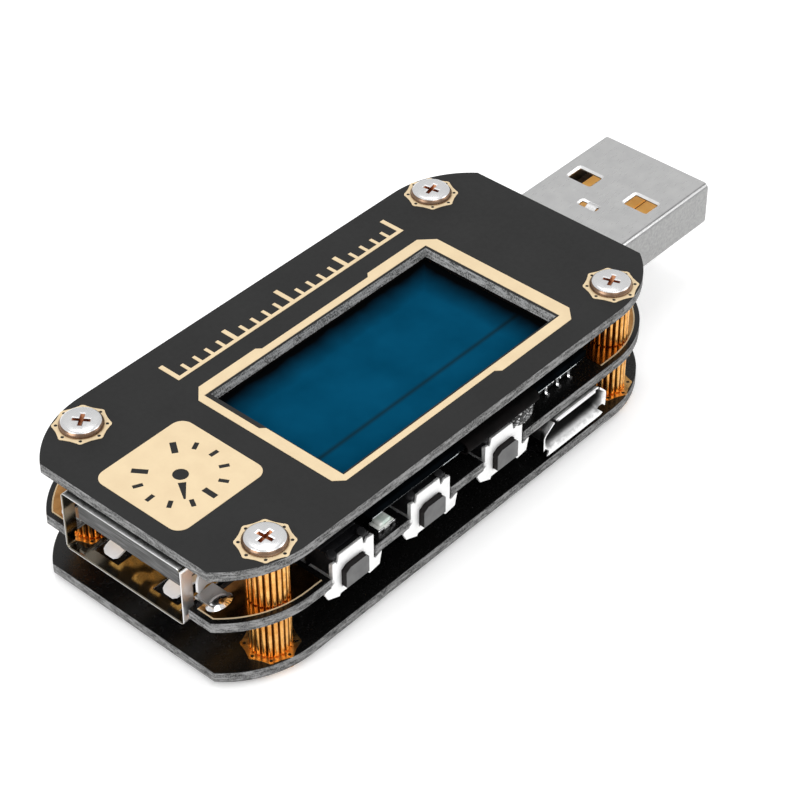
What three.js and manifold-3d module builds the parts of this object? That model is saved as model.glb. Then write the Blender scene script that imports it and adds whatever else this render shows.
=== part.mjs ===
// USB power meter: three stacked circuit boards on brass standoffs, with a USB-A plug, a USB-A socket,
// a micro-USB port, three side-push buttons and a small graphic display under a window.
// Millimetres, +Z up, +X towards the plug, buttons on the -Y side. The origin is at the middle of the
// bounding box, at the height of the four bottom screw heads that the meter rests on.
import * as THREE from 'three';
import { mergeVertices } from 'three/addons/utils/BufferGeometryUtils.js';
import Module from 'manifold-3d';

const wasm = await Module();
wasm.setup();

// ---- Driving dimensions ----------------------------------------------------------------------------

// The three boards share one outline: straight sides, and corners rounded between side and short end.
const BOARD = { halfLength: 26.4, halfWidth: 12.8, thickness: 1.0, straightHalf: 19.0, cornerRadius: 9.4 };
const BOARD_GAP = 4.4;
const HOLE = { x: 21.1, y: 10.15, radius: 1.1 };

const SCREW = { headRadius: 1.85, headHeight: 0.6, shankRadius: 0.9, topLength: 3.2, bottomLength: 2.9 };
const RECESS = { topHalf: 1.0, bottomHalf: 0.5, halfWidth: 0.19, depth: 0.42 };
const STANDOFF = {
  outerRadius: 1.75, rootRadius: 1.58, flutes: 22, boreRadius: 1.05, boreDepth: 3.6, studLength: 3.2,
};

// Heights, built up from the bottom screw heads.
const Z_BOTTOM_PLATE = SCREW.headHeight;
const Z_LOWER_GAP = Z_BOTTOM_PLATE + BOARD.thickness;
const Z_MAIN_BOARD = Z_LOWER_GAP + BOARD_GAP;
const Z_BOARD_TOP = Z_MAIN_BOARD + BOARD.thickness;
const Z_TOP_PLATE = Z_BOARD_TOP + BOARD_GAP;
const Z_TOP_FACE = Z_TOP_PLATE + BOARD.thickness;

const WINDOW = { x0: -11.6, x1: 14.7, y0: -9.3, y1: 5.2 };

const SHEET = 0.3;          // thickness of the connectors' sheet metal
const SIDE_GAP = 0.2;       // clearance of a board cut-out round a connector
const SOLDER_FOOT = 0.25;   // thickness of contacts and their feet

const PLUG = { width: 12.0, height: 4.5, bend: 0.7, x0: 22.0, x1: 41.05 };
const PLUG_WINDOW = { x0: 33.6, x1: 35.5, y0: 2.0, y1: 4.5 };
const PLUG_EAR = { x0: 22.6, x1: 25.2, reach: 1.4 };
const PLUG_INSERT = { rearLength: 5.5, tip: 40.3, floor: 0.05, tongueTop: 2.25 };
const CHANNEL = 0.12;       // clearance of a contact in its plastic insert

// The outer contacts carry the load current, so they are wide; the inner two are for data.
const PLUG_CONTACTS = { innerY: 1.0, innerWidth: 1.0, outerY: 3.1, outerWidth: 2.6 };
const SOCKET_CONTACTS = { innerY: 1.0, innerWidth: 1.0, outerY: 3.5, outerWidth: 2.4 };

const SOCKET = { width: 13.3, height: 5.9, bend: 0.6, x0: -26.76, x1: -13.2, z0: 5.25 };
const SOCKET_EARS = [{ x0: -25.3, x1: -23.3 }, { x0: -17.4, x1: -15.4 }];
const SOCKET_EAR_REACH = 1.75;
const SOCKET_INSERT = { rearLength: 2.8, tip: -26.0, z0: 8.35, z1: 10.1, halfWidth: 5.6 };
const SOCKET_FINGER = { x0: -25.6, x1: -18.6, y0: 1.95, y1: 4.75, width: 1.7, tip: -25.1 };
const SOCKET_SIDE = { x0: -25.6, x1: -20.2, z0: 6.3, z1: 9.9, fingerZ0: 7.2, fingerZ1: 9.0, tip: -25.1 };
const SOCKET_CORNER = { x0: -25.9, y0: 5.2 };   // the side windows run on round the bend into the floor

const MICRO = { x: 13.3, mouth: -13.1, flareDepth: 0.55, flare: 0.7, depth: 5.3, sheet: 0.25 };
const MICRO_PROFILE = { topHalf: 2.6, wideHalf: 3.6, z0: 3.15, shoulder: 4.85, z1: 5.95 };
const MICRO_TONGUE = { halfWidth: 1.8, z0: 4.55, z1: 5.15, front: -12.4 };

const BUTTON_XS = [-14.3, -5.2, 3.9];
const BUTTON = { centreZ: 6.4, front: -12.8, sheet: 0.25, halfWidth: 2.35, back: -9.6 };
const COVER = {
  bottom: 4.75, top: 8.9, notchTop: 8.25, notchHalf: 1.75, notchWidth: 0.22,
  footTop: 5.9, footHalf: 3.35, footBottom: 4.5,
};
const OPENING = { halfWidth: 1.55, z0: 5.3, z1: 7.55, chamfer: 0.4 };
const PLUNGER = {
  halfWidth: 1.3, halfHeight: 1.0, front: -13.3,
  flangeHalfWidth: 1.75, flangeHalfHeight: 1.4, flangeFront: -12.45, back: -11.75,
};
const POCKET = { halfWidth: 1.92, halfHeight: 1.55, floor: -11.05 };
const HOUSING = { halfWidth: 2.05, z0: 4.6, z1: 8.75 };
const DOME = { radius: 1.3, rise: 0.36, thickness: 0.12 };

const DISPLAY = { x0: -11.8, x1: 14.9, y0: -12.5, y1: 6.8, frontY0: -9.9, z0: 9.6, split: 10.35, z1: 11.1 };
const RIBBON = {
  x0: -1.0, x1: 8.0, thickness: 0.12, start: -10.4, fold: -12.52, run: -8.6, land: -5.6, end: -3.6,
};

// The middle of the whole meter: from plunger fronts to board edge in Y, from socket mouth to plug tip in X.
const CENTRE_X = (SOCKET.x0 + PLUG.x1) / 2;
const CENTRE_Y = (PLUNGER.front + BOARD.halfWidth) / 2;

// ---- Materials -------------------------------------------------------------------------------------

function material(color, roughness, metalness) {
  return new THREE.MeshStandardMaterial({ color, roughness, metalness });
}

const BLACK_BOARD = material(0x1b1b1c, 0.55, 0.0);
const BRASS = material(0xc98b2f, 0.3, 1.0);
const STEEL = material(0xc9c6c1, 0.3, 1.0);
const TIN = material(0xd2d0cb, 0.35, 1.0);
const GOLD = material(0xd9a441, 0.3, 1.0);
const BLACK_PLASTIC = material(0x1a1a1b, 0.5, 0.0);
const GREY_PLASTIC = material(0x4a4a4c, 0.55, 0.0);
const SCREEN_GLASS = material(0x0d3f5f, 0.12, 0.0);
const DARK_GLASS = material(0x11161a, 0.15, 0.0);
const RIBBON_FILM = material(0x2a1c10, 0.4, 0.0);
const FOAM = material(0x2c2c2e, 0.95, 0.0);
const CHIP = material(0x161617, 0.6, 0.0);
const CERAMIC = material(0x8c7355, 0.6, 0.0);
const LED_WHITE = material(0xe8ebe2, 0.35, 0.0);

// ---- Geometry helpers ------------------------------------------------------------------------------

const MERGE_DISTANCE = 1e-4;
const X = new THREE.Vector3(1, 0, 0);
const Y = new THREE.Vector3(0, 1, 0);
const Z = new THREE.Vector3(0, 0, 1);

// A closed geometry as a manifold solid: positions only, shared vertices merged, empty triangles dropped.
function solid(geometry) {
  const bare = geometry.clone();
  bare.deleteAttribute('normal');
  bare.deleteAttribute('uv');
  const merged = mergeVertices(bare, MERGE_DISTANCE);
  const index = merged.index.array;
  const triangles = [];
  for (let i = 0; i < index.length; i += 3) {
    const [a, b, c] = [index[i], index[i + 1], index[i + 2]];
    if (a !== b && b !== c && c !== a) triangles.push(a, b, c);
  }
  const vertProperties = new Float32Array(merged.attributes.position.array);
  const triVerts = new Uint32Array(triangles);
  return new wasm.Manifold(new wasm.Mesh({ numProp: 3, vertProperties, triVerts }));
}

function geometryOf(manifold) {
  const mesh = manifold.getMesh();
  const geometry = new THREE.BufferGeometry();
  geometry.setAttribute('position', new THREE.BufferAttribute(new Float32Array(mesh.vertProperties), 3));
  geometry.setIndex(new THREE.BufferAttribute(new Uint32Array(mesh.triVerts), 1));
  geometry.computeVertexNormals();
  return geometry;
}

function joined(...geometries) {
  return geometryOf(geometries.map(solid).reduce((whole, piece) => whole.add(piece)));
}

function cut(geometry, ...tools) {
  return geometryOf(tools.map(solid).reduce((left, tool) => left.subtract(tool), solid(geometry)));
}

function box(x0, x1, y0, y1, z0, z1) {
  const geometry = new THREE.BoxGeometry(x1 - x0, y1 - y0, z1 - z0);
  return geometry.translate((x0 + x1) / 2, (y0 + y1) / 2, (z0 + z1) / 2);
}

function rod(radius, z0, z1, segments = 24) {
  const geometry = new THREE.CylinderGeometry(radius, radius, z1 - z0, segments);
  return geometry.rotateX(Math.PI / 2).translate(0, 0, (z0 + z1) / 2);
}

function extruded(shape, depth, curveSegments) {
  return new THREE.ExtrudeGeometry(shape, { depth, curveSegments, bevelEnabled: false });
}

// A shape drawn in XY, standing between two heights.
function slab(shape, z0, z1, curveSegments = 6) {
  return extruded(shape, z1 - z0, curveSegments).translate(0, 0, z0);
}

// A shape drawn in YZ, running from x0 to x1.
function alongX(shape, x0, x1, curveSegments = 4) {
  const geometry = extruded(shape, x1 - x0, curveSegments);
  return geometry.applyMatrix4(new THREE.Matrix4().makeBasis(Y, Z, X)).translate(x0, 0, 0);
}

// A shape drawn in XZ, running from y0 to y1.
function alongY(shape, y0, y1, curveSegments = 4) {
  const geometry = extruded(shape, y1 - y0, curveSegments);
  const backwards = Y.clone().negate();
  return geometry.applyMatrix4(new THREE.Matrix4().makeBasis(X, Z, backwards)).translate(0, y1, 0);
}

function polygon(points) {
  return new THREE.Shape(points.map(([u, v]) => new THREE.Vector2(u, v)));
}

function roundedRectangle(width, height, radius, centreV = 0) {
  const [u, v] = [width / 2, height / 2];
  const shape = new THREE.Shape();
  shape.absarc(u - radius, centreV + v - radius, radius, 0, Math.PI / 2);
  shape.absarc(-u + radius, centreV + v - radius, radius, Math.PI / 2, Math.PI);
  shape.absarc(-u + radius, centreV - v + radius, radius, Math.PI, 1.5 * Math.PI);
  shape.absarc(u - radius, centreV - v + radius, radius, 1.5 * Math.PI, 2 * Math.PI);
  shape.closePath();
  return shape;
}

// A solid through rings of the same number of points, each anticlockwise as seen from in front of the
// first ring. The first and last ring are closed flat.
function loft(rings) {
  const count = rings[0].length;
  const positions = rings.flat().flatMap((point) => point.toArray());
  const index = [];
  for (let r = 0; r + 1 < rings.length; r += 1) {
    for (let i = 0; i < count; i += 1) {
      const [a, b] = [r * count + i, r * count + ((i + 1) % count)];
      index.push(a, b + count, b, a, a + count, b + count);
    }
  }
  for (let i = 1; i + 1 < count; i += 1) {
    const last = (rings.length - 1) * count;
    index.push(0, i, i + 1, last, last + i + 1, last + i);
  }
  const geometry = new THREE.BufferGeometry();
  geometry.setAttribute('position', new THREE.Float32BufferAttribute(positions, 3));
  geometry.setIndex(index);
  return geometry;
}

const meter = new THREE.Group();
meter.position.set(-CENTRE_X, -CENTRE_Y, 0);

function add(name, geometry, look, x = 0, y = 0, z = 0) {
  const mesh = new THREE.Mesh(geometry, look);
  mesh.name = name;
  mesh.position.set(x, y, z);
  meter.add(mesh);
  return mesh;
}

// The four screw positions, in order round the board.
const CORNERS = [[-1, -1], [1, -1], [1, 1], [-1, 1]].map(([sx, sy]) => [sx * HOLE.x, sy * HOLE.y]);

// ---- Boards ----------------------------------------------------------------------------------------

function boardShape() {
  const { halfLength, halfWidth, straightHalf, cornerRadius } = BOARD;
  const centreY = halfWidth - cornerRadius;
  const sweep = Math.asin((halfLength - straightHalf) / cornerRadius);
  const quarter = Math.PI / 2;
  const shape = new THREE.Shape();
  shape.absarc(straightHalf, -centreY, cornerRadius, -quarter, -quarter + sweep);
  shape.absarc(straightHalf, centreY, cornerRadius, quarter - sweep, quarter);
  shape.absarc(-straightHalf, centreY, cornerRadius, quarter, quarter + sweep);
  shape.absarc(-straightHalf, -centreY, cornerRadius, -quarter - sweep, -quarter);
  shape.closePath();
  for (const [x, y] of CORNERS) {
    const hole = new THREE.Path();
    hole.absarc(x, y, HOLE.radius, 0, 2 * Math.PI, true);
    shape.holes.push(hole);
  }
  return shape;
}

function plate(z, ...cutOuts) {
  const board = slab(boardShape(), z, z + BOARD.thickness, 8);
  return cut(board, ...cutOuts);
}

function addBoards() {
  const [z0, z1] = [Z_MAIN_BOARD - 1, Z_BOARD_TOP + 1];
  const past = BOARD.halfLength + 1;
  const socketSide = SOCKET.width / 2 + SIDE_GAP;
  const plugSide = PLUG.width / 2 + SIDE_GAP;
  const buttonSide = BUTTON.halfWidth + SIDE_GAP;
  const notches = BUTTON_XS.map((x) =>
    box(x - buttonSide, x + buttonSide, -BOARD.halfWidth - 1, BUTTON.back + SIDE_GAP, z0, z1));
  add('bottom_plate', plate(Z_BOTTOM_PLATE), BLACK_BOARD);
  add('main_board', plate(Z_MAIN_BOARD,
    box(-past, SOCKET.x1 + SIDE_GAP, -socketSide, socketSide, z0, z1),
    box(PLUG.x0 - SIDE_GAP, past, -plugSide, plugSide, z0, z1),
    ...notches), BLACK_BOARD);
  add('top_plate', plate(Z_TOP_PLATE,
    box(WINDOW.x0, WINDOW.x1, WINDOW.y0, WINDOW.y1, Z_TOP_PLATE - 1, Z_TOP_FACE + 1)), BLACK_BOARD);
}

// ---- Fasteners -------------------------------------------------------------------------------------

// A thin flat head on z = 0 with a cross recess, and a plain shank below it.
function screwGeometry(length) {
  const { headRadius, headHeight, shankRadius } = SCREW;
  const chamfer = 0.18;
  const profile = [
    [0, -length], [shankRadius - chamfer, -length], [shankRadius, -length + chamfer], [shankRadius, 0],
    [headRadius, 0], [headRadius, headHeight - chamfer], [headRadius - chamfer, headHeight], [0, headHeight],
  ].map(([r, z]) => new THREE.Vector2(r, z));
  const body = new THREE.LatheGeometry(profile, 24).rotateX(Math.PI / 2);
  const { topHalf, bottomHalf, halfWidth, depth } = RECESS;
  const over = headHeight + 0.1;
  const floor = headHeight - depth;
  const wing = alongY(polygon([
    [-bottomHalf, floor], [bottomHalf, floor], [topHalf, headHeight],
    [topHalf, over], [-topHalf, over], [-topHalf, headHeight],
  ]), -halfWidth, halfWidth);
  return cut(body, wing, wing.clone().rotateZ(Math.PI / 2));
}

function knurl() {
  const { outerRadius, rootRadius, flutes } = STANDOFF;
  const points = [];
  for (let i = 0; i < 2 * flutes; i += 1) {
    const radius = i % 2 === 0 ? outerRadius : rootRadius;
    const angle = (i * Math.PI) / flutes;
    points.push([radius * Math.cos(angle), radius * Math.sin(angle)]);
  }
  return polygon(points);
}

function addFasteners() {
  const { boreRadius, boreDepth, studLength } = STANDOFF;
  const sleeve = slab(knurl(), 0, BOARD_GAP);
  const lower = cut(sleeve, rod(boreRadius, -1, BOARD_GAP + 1, 16));
  const studded = joined(
    cut(sleeve, rod(boreRadius, BOARD_GAP - boreDepth, BOARD_GAP + 1, 16)),
    rod(SCREW.shankRadius, -studLength, 0.4, 16));
  const topScrew = screwGeometry(SCREW.topLength);
  const bottomScrew = screwGeometry(SCREW.bottomLength).rotateX(Math.PI);
  const turns = [0.1, 0.35, 0.2, 0.62];
  CORNERS.forEach(([x, y], i) => {
    add(`lower_standoff_${i + 1}`, lower, BRASS, x, y, Z_LOWER_GAP);
    add(`upper_standoff_${i + 1}`, studded, BRASS, x, y, Z_BOARD_TOP);
    add(`top_screw_${i + 1}`, topScrew, STEEL, x, y, Z_TOP_FACE).rotation.z = turns[i];
    add(`bottom_screw_${i + 1}`, bottomScrew, STEEL, x, y, Z_BOTTOM_PLATE).rotation.z = -turns[i];
  });
}

// ---- USB-A plug ------------------------------------------------------------------------------------

// A strip that lies flat, steps down a riser and ends in a foot, drawn as (x, z) from tip to foot.
function contactStrip(tip, riser, foot, bladeZ, footZ, width) {
  const t = SOLDER_FOOT;
  const step = Math.sign(foot - riser);
  const profile = polygon([
    [tip, bladeZ], [tip, bladeZ + t], [riser + step * t, bladeZ + t], [riser + step * t, footZ + t],
    [foot, footZ + t], [foot, footZ], [riser, footZ], [riser, bladeZ],
  ]);
  return alongY(profile, -width / 2, width / 2);
}

// The four contacts of a connector, in order across it, each with its place and width.
function contactRow({ innerY, innerWidth, outerY, outerWidth }) {
  const outer = (side) => ({ y: side * outerY, width: outerWidth, isOuter: true });
  const inner = (side) => ({ y: side * innerY, width: innerWidth, isOuter: false });
  return [outer(-1), inner(-1), inner(1), outer(1)];
}

// Channels that let the contact strips through a plastic insert, with clearance all round.
function contactChannels(row, x0, x1, z) {
  return row.map(({ y, width }) => {
    const side = width / 2 + CHANNEL;
    return box(x0, x1, y - side, y + side, z - CHANNEL, z + SOLDER_FOOT + CHANNEL);
  });
}

// The two numbers in rising order, for a span given from the middle outwards on either side.
function span(side, near, far) {
  return side > 0 ? [near, far] : [-far, -near];
}

function addPlug() {
  const z0 = Z_MAIN_BOARD;
  const centreZ = z0 + PLUG.height / 2;
  const [innerWidth, innerHeight] = [PLUG.width - 2 * SHEET, PLUG.height - 2 * SHEET];
  const w = PLUG_WINDOW;
  const tube = cut(
    alongX(roundedRectangle(PLUG.width, PLUG.height, PLUG.bend, centreZ), PLUG.x0, PLUG.x1),
    alongX(roundedRectangle(innerWidth, innerHeight, PLUG.bend - SHEET, centreZ), PLUG.x0 - 1, PLUG.x1 + 1),
    ...[-1, 1].map((side) =>
      box(w.x0, w.x1, ...span(side, w.y0, w.y1), z0 - 1, z0 + PLUG.height + 1)));
  const ears = [-1, 1].map((side) =>
    box(PLUG_EAR.x0, PLUG_EAR.x1, ...span(side, PLUG.width / 2 - SHEET, PLUG.width / 2 + PLUG_EAR.reach),
      Z_BOARD_TOP, Z_BOARD_TOP + SHEET));
  add('usb_plug_shell', joined(tube, ...ears), STEEL);

  const row = contactRow(PLUG_CONTACTS);
  const bladeZ = z0 + PLUG_INSERT.tongueTop;
  const side = innerWidth / 2 - 0.05;
  const bottom = z0 + SHEET + PLUG_INSERT.floor;
  const rearEnd = PLUG.x0 + PLUG_INSERT.rearLength;
  const insert = cut(
    joined(
      box(PLUG.x0, rearEnd, -side + 0.4, side - 0.4, bottom, z0 + PLUG.height - SHEET - 0.05),
      box(rearEnd - 0.1, PLUG_INSERT.tip, -side + 0.4, side - 0.4, bottom, bladeZ - 0.02)),
    ...contactChannels(row, PLUG.x0 - 1, rearEnd + 1, bladeZ));
  add('usb_plug_insert', insert, GREY_PLASTIC);

  const riser = PLUG.x0 - 0.35;
  const foot = riser - 1.8;
  row.forEach(({ y, width, isOuter }, i) => {
    const tip = PLUG_INSERT.tip - (isOuter ? 0.7 : 1.7);
    add(`usb_plug_contact_${i + 1}`, contactStrip(tip, riser, foot, bladeZ, Z_BOARD_TOP, width), GOLD, 0, y);
  });
}

// ---- USB-A socket ----------------------------------------------------------------------------------

// The spring fingers in the shell's windows: two in the floor, two in the roof and one in each side.
function socketFingers() {
  const { width, height, z0 } = SOCKET;
  const f = SOCKET_FINGER;
  const s = SOCKET_SIDE;
  const middle = (f.y0 + f.y1) / 2;
  return [-1, 1].flatMap((side) => {
    const ys = span(side, middle - f.width / 2, middle + f.width / 2);
    return [
      box(f.tip, f.x1 + 0.1, ...ys, z0, z0 + SHEET),
      box(f.tip, f.x1 + 0.1, ...ys, z0 + height - SHEET, z0 + height),
      box(s.tip, s.x1 + 0.1, ...span(side, width / 2 - SHEET, width / 2), s.fingerZ0, s.fingerZ1),
    ];
  });
}

function addSocket() {
  const { width, height, bend, x0, x1, z0 } = SOCKET;
  const centreZ = z0 + height / 2;
  const [innerWidth, innerHeight] = [width - 2 * SHEET, height - 2 * SHEET];
  const f = SOCKET_FINGER;
  const s = SOCKET_SIDE;
  const tube = cut(
    alongX(roundedRectangle(width, height, bend, centreZ), x0, x1),
    alongX(roundedRectangle(innerWidth, innerHeight, bend - SHEET, centreZ), x0 - 1, x1 + 1),
    ...[-1, 1].map((side) => box(f.x0, f.x1, ...span(side, f.y0, f.y1), z0 - 1, z0 + height + 1)),
    box(s.x0, s.x1, -width, width, s.z0, s.z1),
    ...[-1, 1].map((side) =>
      box(SOCKET_CORNER.x0, s.x1, ...span(side, SOCKET_CORNER.y0, width), z0 - 1, s.z0 + 0.1)));
  const earTop = Z_BOARD_TOP + SHEET;
  const ears = SOCKET_EARS.flatMap(({ x0: from, x1: to }) => [-1, 1].map((side) =>
    box(from, to, ...span(side, width / 2 - SHEET, width / 2 + SOCKET_EAR_REACH), Z_BOARD_TOP, earTop)));
  add('usb_socket_shell', joined(tube, ...ears, ...socketFingers()), STEEL);

  const row = contactRow(SOCKET_CONTACTS);
  const rearStart = x1 - SOCKET_INSERT.rearLength;
  const side = innerWidth / 2 - 0.35;
  const bladeZ = SOCKET_INSERT.z0 - SOLDER_FOOT;
  const insert = cut(
    joined(
      box(rearStart, x1, -side, side, z0 + SHEET + 0.05, z0 + height - SHEET - 0.05),
      box(SOCKET_INSERT.tip, rearStart + 0.1, -SOCKET_INSERT.halfWidth, SOCKET_INSERT.halfWidth,
        SOCKET_INSERT.z0 + 0.02, SOCKET_INSERT.z1)),
    ...contactChannels(row, rearStart - 1, x1 + 1, bladeZ));
  add('usb_socket_insert', insert, GREY_PLASTIC);

  const riser = x1 + 0.35;
  row.forEach(({ y, width: across, isOuter }, i) => {
    const tip = SOCKET_INSERT.tip + (isOuter ? 0.5 : 0.9);
    const strip = contactStrip(tip, riser, riser + 1.8, bladeZ, Z_BOARD_TOP, across);
    add(`usb_socket_contact_${i + 1}`, strip, GOLD, 0, y);
  });
}

// ---- Micro-USB port --------------------------------------------------------------------------------

// The port's cross-section at a given y, grown outwards by an offset: narrow at the board, wide below.
function microRing(y, grow) {
  const { topHalf, wideHalf, z0, shoulder, z1 } = MICRO_PROFILE;
  const slant = grow * 0.4;
  const top = z1 + Math.min(grow, 0);
  return [
    [wideHalf + grow, z0 - grow], [wideHalf + grow, shoulder + slant], [topHalf + slant, top],
    [-topHalf - slant, top], [-wideHalf - grow, shoulder + slant], [-wideHalf - grow, z0 - grow],
  ].map(([x, z]) => new THREE.Vector3(MICRO.x + x, y, z));
}

function addMicroPort() {
  const { mouth, flareDepth, flare, depth, sheet } = MICRO;
  const back = mouth + depth;
  const throat = mouth + flareDepth;
  const past = 0.2;
  const steepness = flare / flareDepth;
  const outer = loft([microRing(mouth, flare), microRing(throat, 0), microRing(back, 0)]);
  const inner = loft([
    microRing(mouth - past, flare - sheet + steepness * past),
    microRing(throat, -sheet),
    microRing(back - sheet, -sheet),
  ]);
  add('micro_usb_shell', cut(outer, inner), STEEL);
  const { halfWidth, z0, z1, front } = MICRO_TONGUE;
  const block = back - sheet - 0.05;
  const profile = MICRO_PROFILE;
  const insert = joined(
    box(MICRO.x - halfWidth, MICRO.x + halfWidth, front, block, z0, z1),
    box(MICRO.x - profile.topHalf + 0.4, MICRO.x + profile.topHalf - 0.4, block - 1.2, block,
      profile.z0 + sheet + 0.05, profile.z1 - sheet - 0.05));
  add('micro_usb_insert', insert, BLACK_PLASTIC);
}

// ---- Side-push buttons -----------------------------------------------------------------------------

// The sheet-metal front, drawn as (x, z): two side posts, a top bar between notches, and spread feet.
function coverShape() {
  const { halfWidth } = BUTTON;
  const c = COVER;
  const right = [
    [halfWidth - 0.6, c.bottom], [c.footHalf - 0.75, c.footBottom], [c.footHalf - 0.25, c.footBottom + 0.35],
    [c.footHalf, c.footTop - 0.25], [c.footHalf - 0.3, c.footTop], [halfWidth, c.footTop - 0.35],
    [halfWidth, c.notchTop + 0.25], [c.notchHalf + c.notchWidth, c.notchTop + 0.25],
    [c.notchHalf + c.notchWidth / 2, c.notchTop], [c.notchHalf, c.notchTop + 0.3], [c.notchHalf - 0.1, c.top],
  ];
  const left = right.map(([x, z]) => [-x, z]).reverse();
  const shape = polygon([...right, ...left]);
  const { halfWidth: w, z0, z1, chamfer } = OPENING;
  const shoulder = z1 - chamfer;
  const flat = w - 1.6 * chamfer;
  shape.holes.push(polygon([[-w, z0], [-w, shoulder], [-flat, z1], [flat, z1], [w, shoulder], [w, z0]]));
  return shape;
}

function addButtons() {
  const { front, sheet, halfWidth, back, centreZ } = BUTTON;
  const coverBack = front + sheet;
  const flanges = [-1, 1].map((side) =>
    box(...span(side, halfWidth - sheet, halfWidth), coverBack - 0.05, back - 0.6,
      COVER.footTop - 0.5, COVER.notchTop + 0.1));
  const cover = joined(alongY(coverShape(), front, coverBack), ...flanges);

  const p = POCKET;
  const housing = cut(
    box(-HOUSING.halfWidth, HOUSING.halfWidth, coverBack, back, HOUSING.z0, HOUSING.z1),
    box(-p.halfWidth, p.halfWidth, front, p.floor, centreZ - p.halfHeight, centreZ + p.halfHeight));

  const q = PLUNGER;
  const plunger = joined(
    box(-q.halfWidth, q.halfWidth, q.front, q.flangeFront + 0.1,
      centreZ - q.halfHeight, centreZ + q.halfHeight),
    box(-q.flangeHalfWidth, q.flangeHalfWidth, q.flangeFront, q.back,
      centreZ - q.flangeHalfHeight, centreZ + q.flangeHalfHeight));

  const rings = 4;
  const arc = (lift) => Array.from({ length: rings + 1 }, (_, i) => {
    const radius = (DOME.radius * i) / rings;
    return new THREE.Vector2(radius, lift + (DOME.rise - DOME.thickness) * (1 - (radius / DOME.radius) ** 2));
  });
  const domeProfile = [...arc(0), ...arc(DOME.thickness).reverse()];
  const dome = geometryOf(solid(new THREE.LatheGeometry(domeProfile, 16).rotateX(Math.PI)));

  BUTTON_XS.forEach((x, i) => {
    add(`button_cover_${i + 1}`, cover, TIN, x);
    add(`button_housing_${i + 1}`, housing, BLACK_PLASTIC, x);
    add(`button_dome_${i + 1}`, dome, STEEL, x, POCKET.floor, centreZ);
    add(`button_plunger_${i + 1}`, plunger, GREY_PLASTIC, x);
  });
}

// ---- Display ---------------------------------------------------------------------------------------

// The ribbon leaves the glass ledge, folds round its edge and comes down on the main board.
function ribbonShape() {
  const { thickness: t, start, fold, run, land, end } = RIBBON;
  const top = DISPLAY.split + t;
  const under = DISPLAY.z0 - 0.2;
  const foldZ = (top + under - t) / 2;
  const foldRadius = (top - under + t) / 2;
  const floor = Z_BOARD_TOP;
  const shape = new THREE.Shape();
  shape.moveTo(start, top - t);
  shape.lineTo(start, top);
  shape.lineTo(fold, top);
  shape.absarc(fold, foldZ, foldRadius, Math.PI / 2, 1.5 * Math.PI);
  shape.lineTo(run, under - t);
  shape.lineTo(land - 0.1, floor);
  shape.lineTo(end, floor);
  shape.lineTo(end, floor + t);
  shape.lineTo(land, floor + t);
  shape.lineTo(run + 0.1, under);
  shape.lineTo(fold, under);
  shape.absarc(fold, foldZ, foldRadius - t, 1.5 * Math.PI, Math.PI / 2, true);
  shape.closePath();
  return shape;
}

function addDisplay() {
  const d = DISPLAY;
  add('display_back_glass', box(d.x0, d.x1, d.y0, d.y1, d.z0, d.split), DARK_GLASS);
  add('display_front_glass', box(d.x0, d.x1, d.frontY0, d.y1, d.split, d.z1), SCREEN_GLASS);
  add('display_ribbon', alongX(ribbonShape(), RIBBON.x0, RIBBON.x1, 8), RIBBON_FILM);
  add('display_foam_pad', box(-9.5, 12.0, -1.8, 6.0, 8.65, d.z0), FOAM);
}

// ---- Components on the main board ------------------------------------------------------------------

// A box on a face of the main board: centre, size, and which side of the board it stands on.
function component(name, look, x, y, size, below = false) {
  const [sx, sy, sz] = size;
  const z = below ? Z_MAIN_BOARD - sz / 2 : Z_BOARD_TOP + sz / 2;
  add(name, new THREE.BoxGeometry(sx, sy, sz), look, x, y, z);
}

function addComponents() {
  component('microcontroller', CHIP, -6.0, 1.5, [7.0, 7.0, 1.4]);
  component('power_monitor_chip', CHIP, 5.0, 2.6, [3.0, 3.0, 1.0]);
  component('shunt_resistor', CHIP, 16.2, 0, [6.4, 3.2, 0.7]);
  component('crystal', TIN, -7.0, 8.4, [3.2, 2.5, 0.8]);
  component('inductor', CHIP, 8.1, -10.6, [2.5, 2.5, 1.9]);
  component('voltage_regulator', CHIP, 12.9, -10.2, [4.5, 2.5, 1.5]);
  component('capacitor_1', CERAMIC, -1.0, 9.6, [3.2, 1.6, 1.6]);
  component('capacitor_2', CERAMIC, 4.4, 9.6, [3.2, 1.6, 1.6]);
  component('diode', CHIP, 10.6, 9.4, [4.3, 2.6, 2.2]);
  component('status_led', LED_WHITE, -9.75, -11.65, [2.0, 1.2, 0.85]);
  component('memory_chip', CHIP, -2.0, 3.0, [5.0, 4.0, 1.5], true);
}

addBoards();
addFasteners();
addPlug();
addSocket();
addMicroPort();
addButtons();
addDisplay();
addComponents();

export default meter;
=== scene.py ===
"""Looks of the USB power meter: boards, brass standoffs, connectors, buttons, display and their materials.

Everything is drawn in millimetres in the plates' own frame, +X towards the plug and the buttons at -Y, with
x = y = 0 at the middle of the top plate and z = 0 at the surface that the meter rests on.
"""

import math
import random

import bmesh
import bpy
from mathutils import Matrix, Vector


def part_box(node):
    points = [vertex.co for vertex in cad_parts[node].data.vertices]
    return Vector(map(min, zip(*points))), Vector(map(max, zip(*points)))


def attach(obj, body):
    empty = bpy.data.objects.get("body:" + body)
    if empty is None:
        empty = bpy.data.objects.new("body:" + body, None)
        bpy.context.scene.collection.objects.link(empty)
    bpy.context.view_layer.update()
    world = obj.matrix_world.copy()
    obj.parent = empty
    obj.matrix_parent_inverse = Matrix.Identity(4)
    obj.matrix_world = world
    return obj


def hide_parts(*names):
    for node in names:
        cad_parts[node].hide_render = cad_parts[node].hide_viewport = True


MM = 0.001
ROOT = "chassis"

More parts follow.
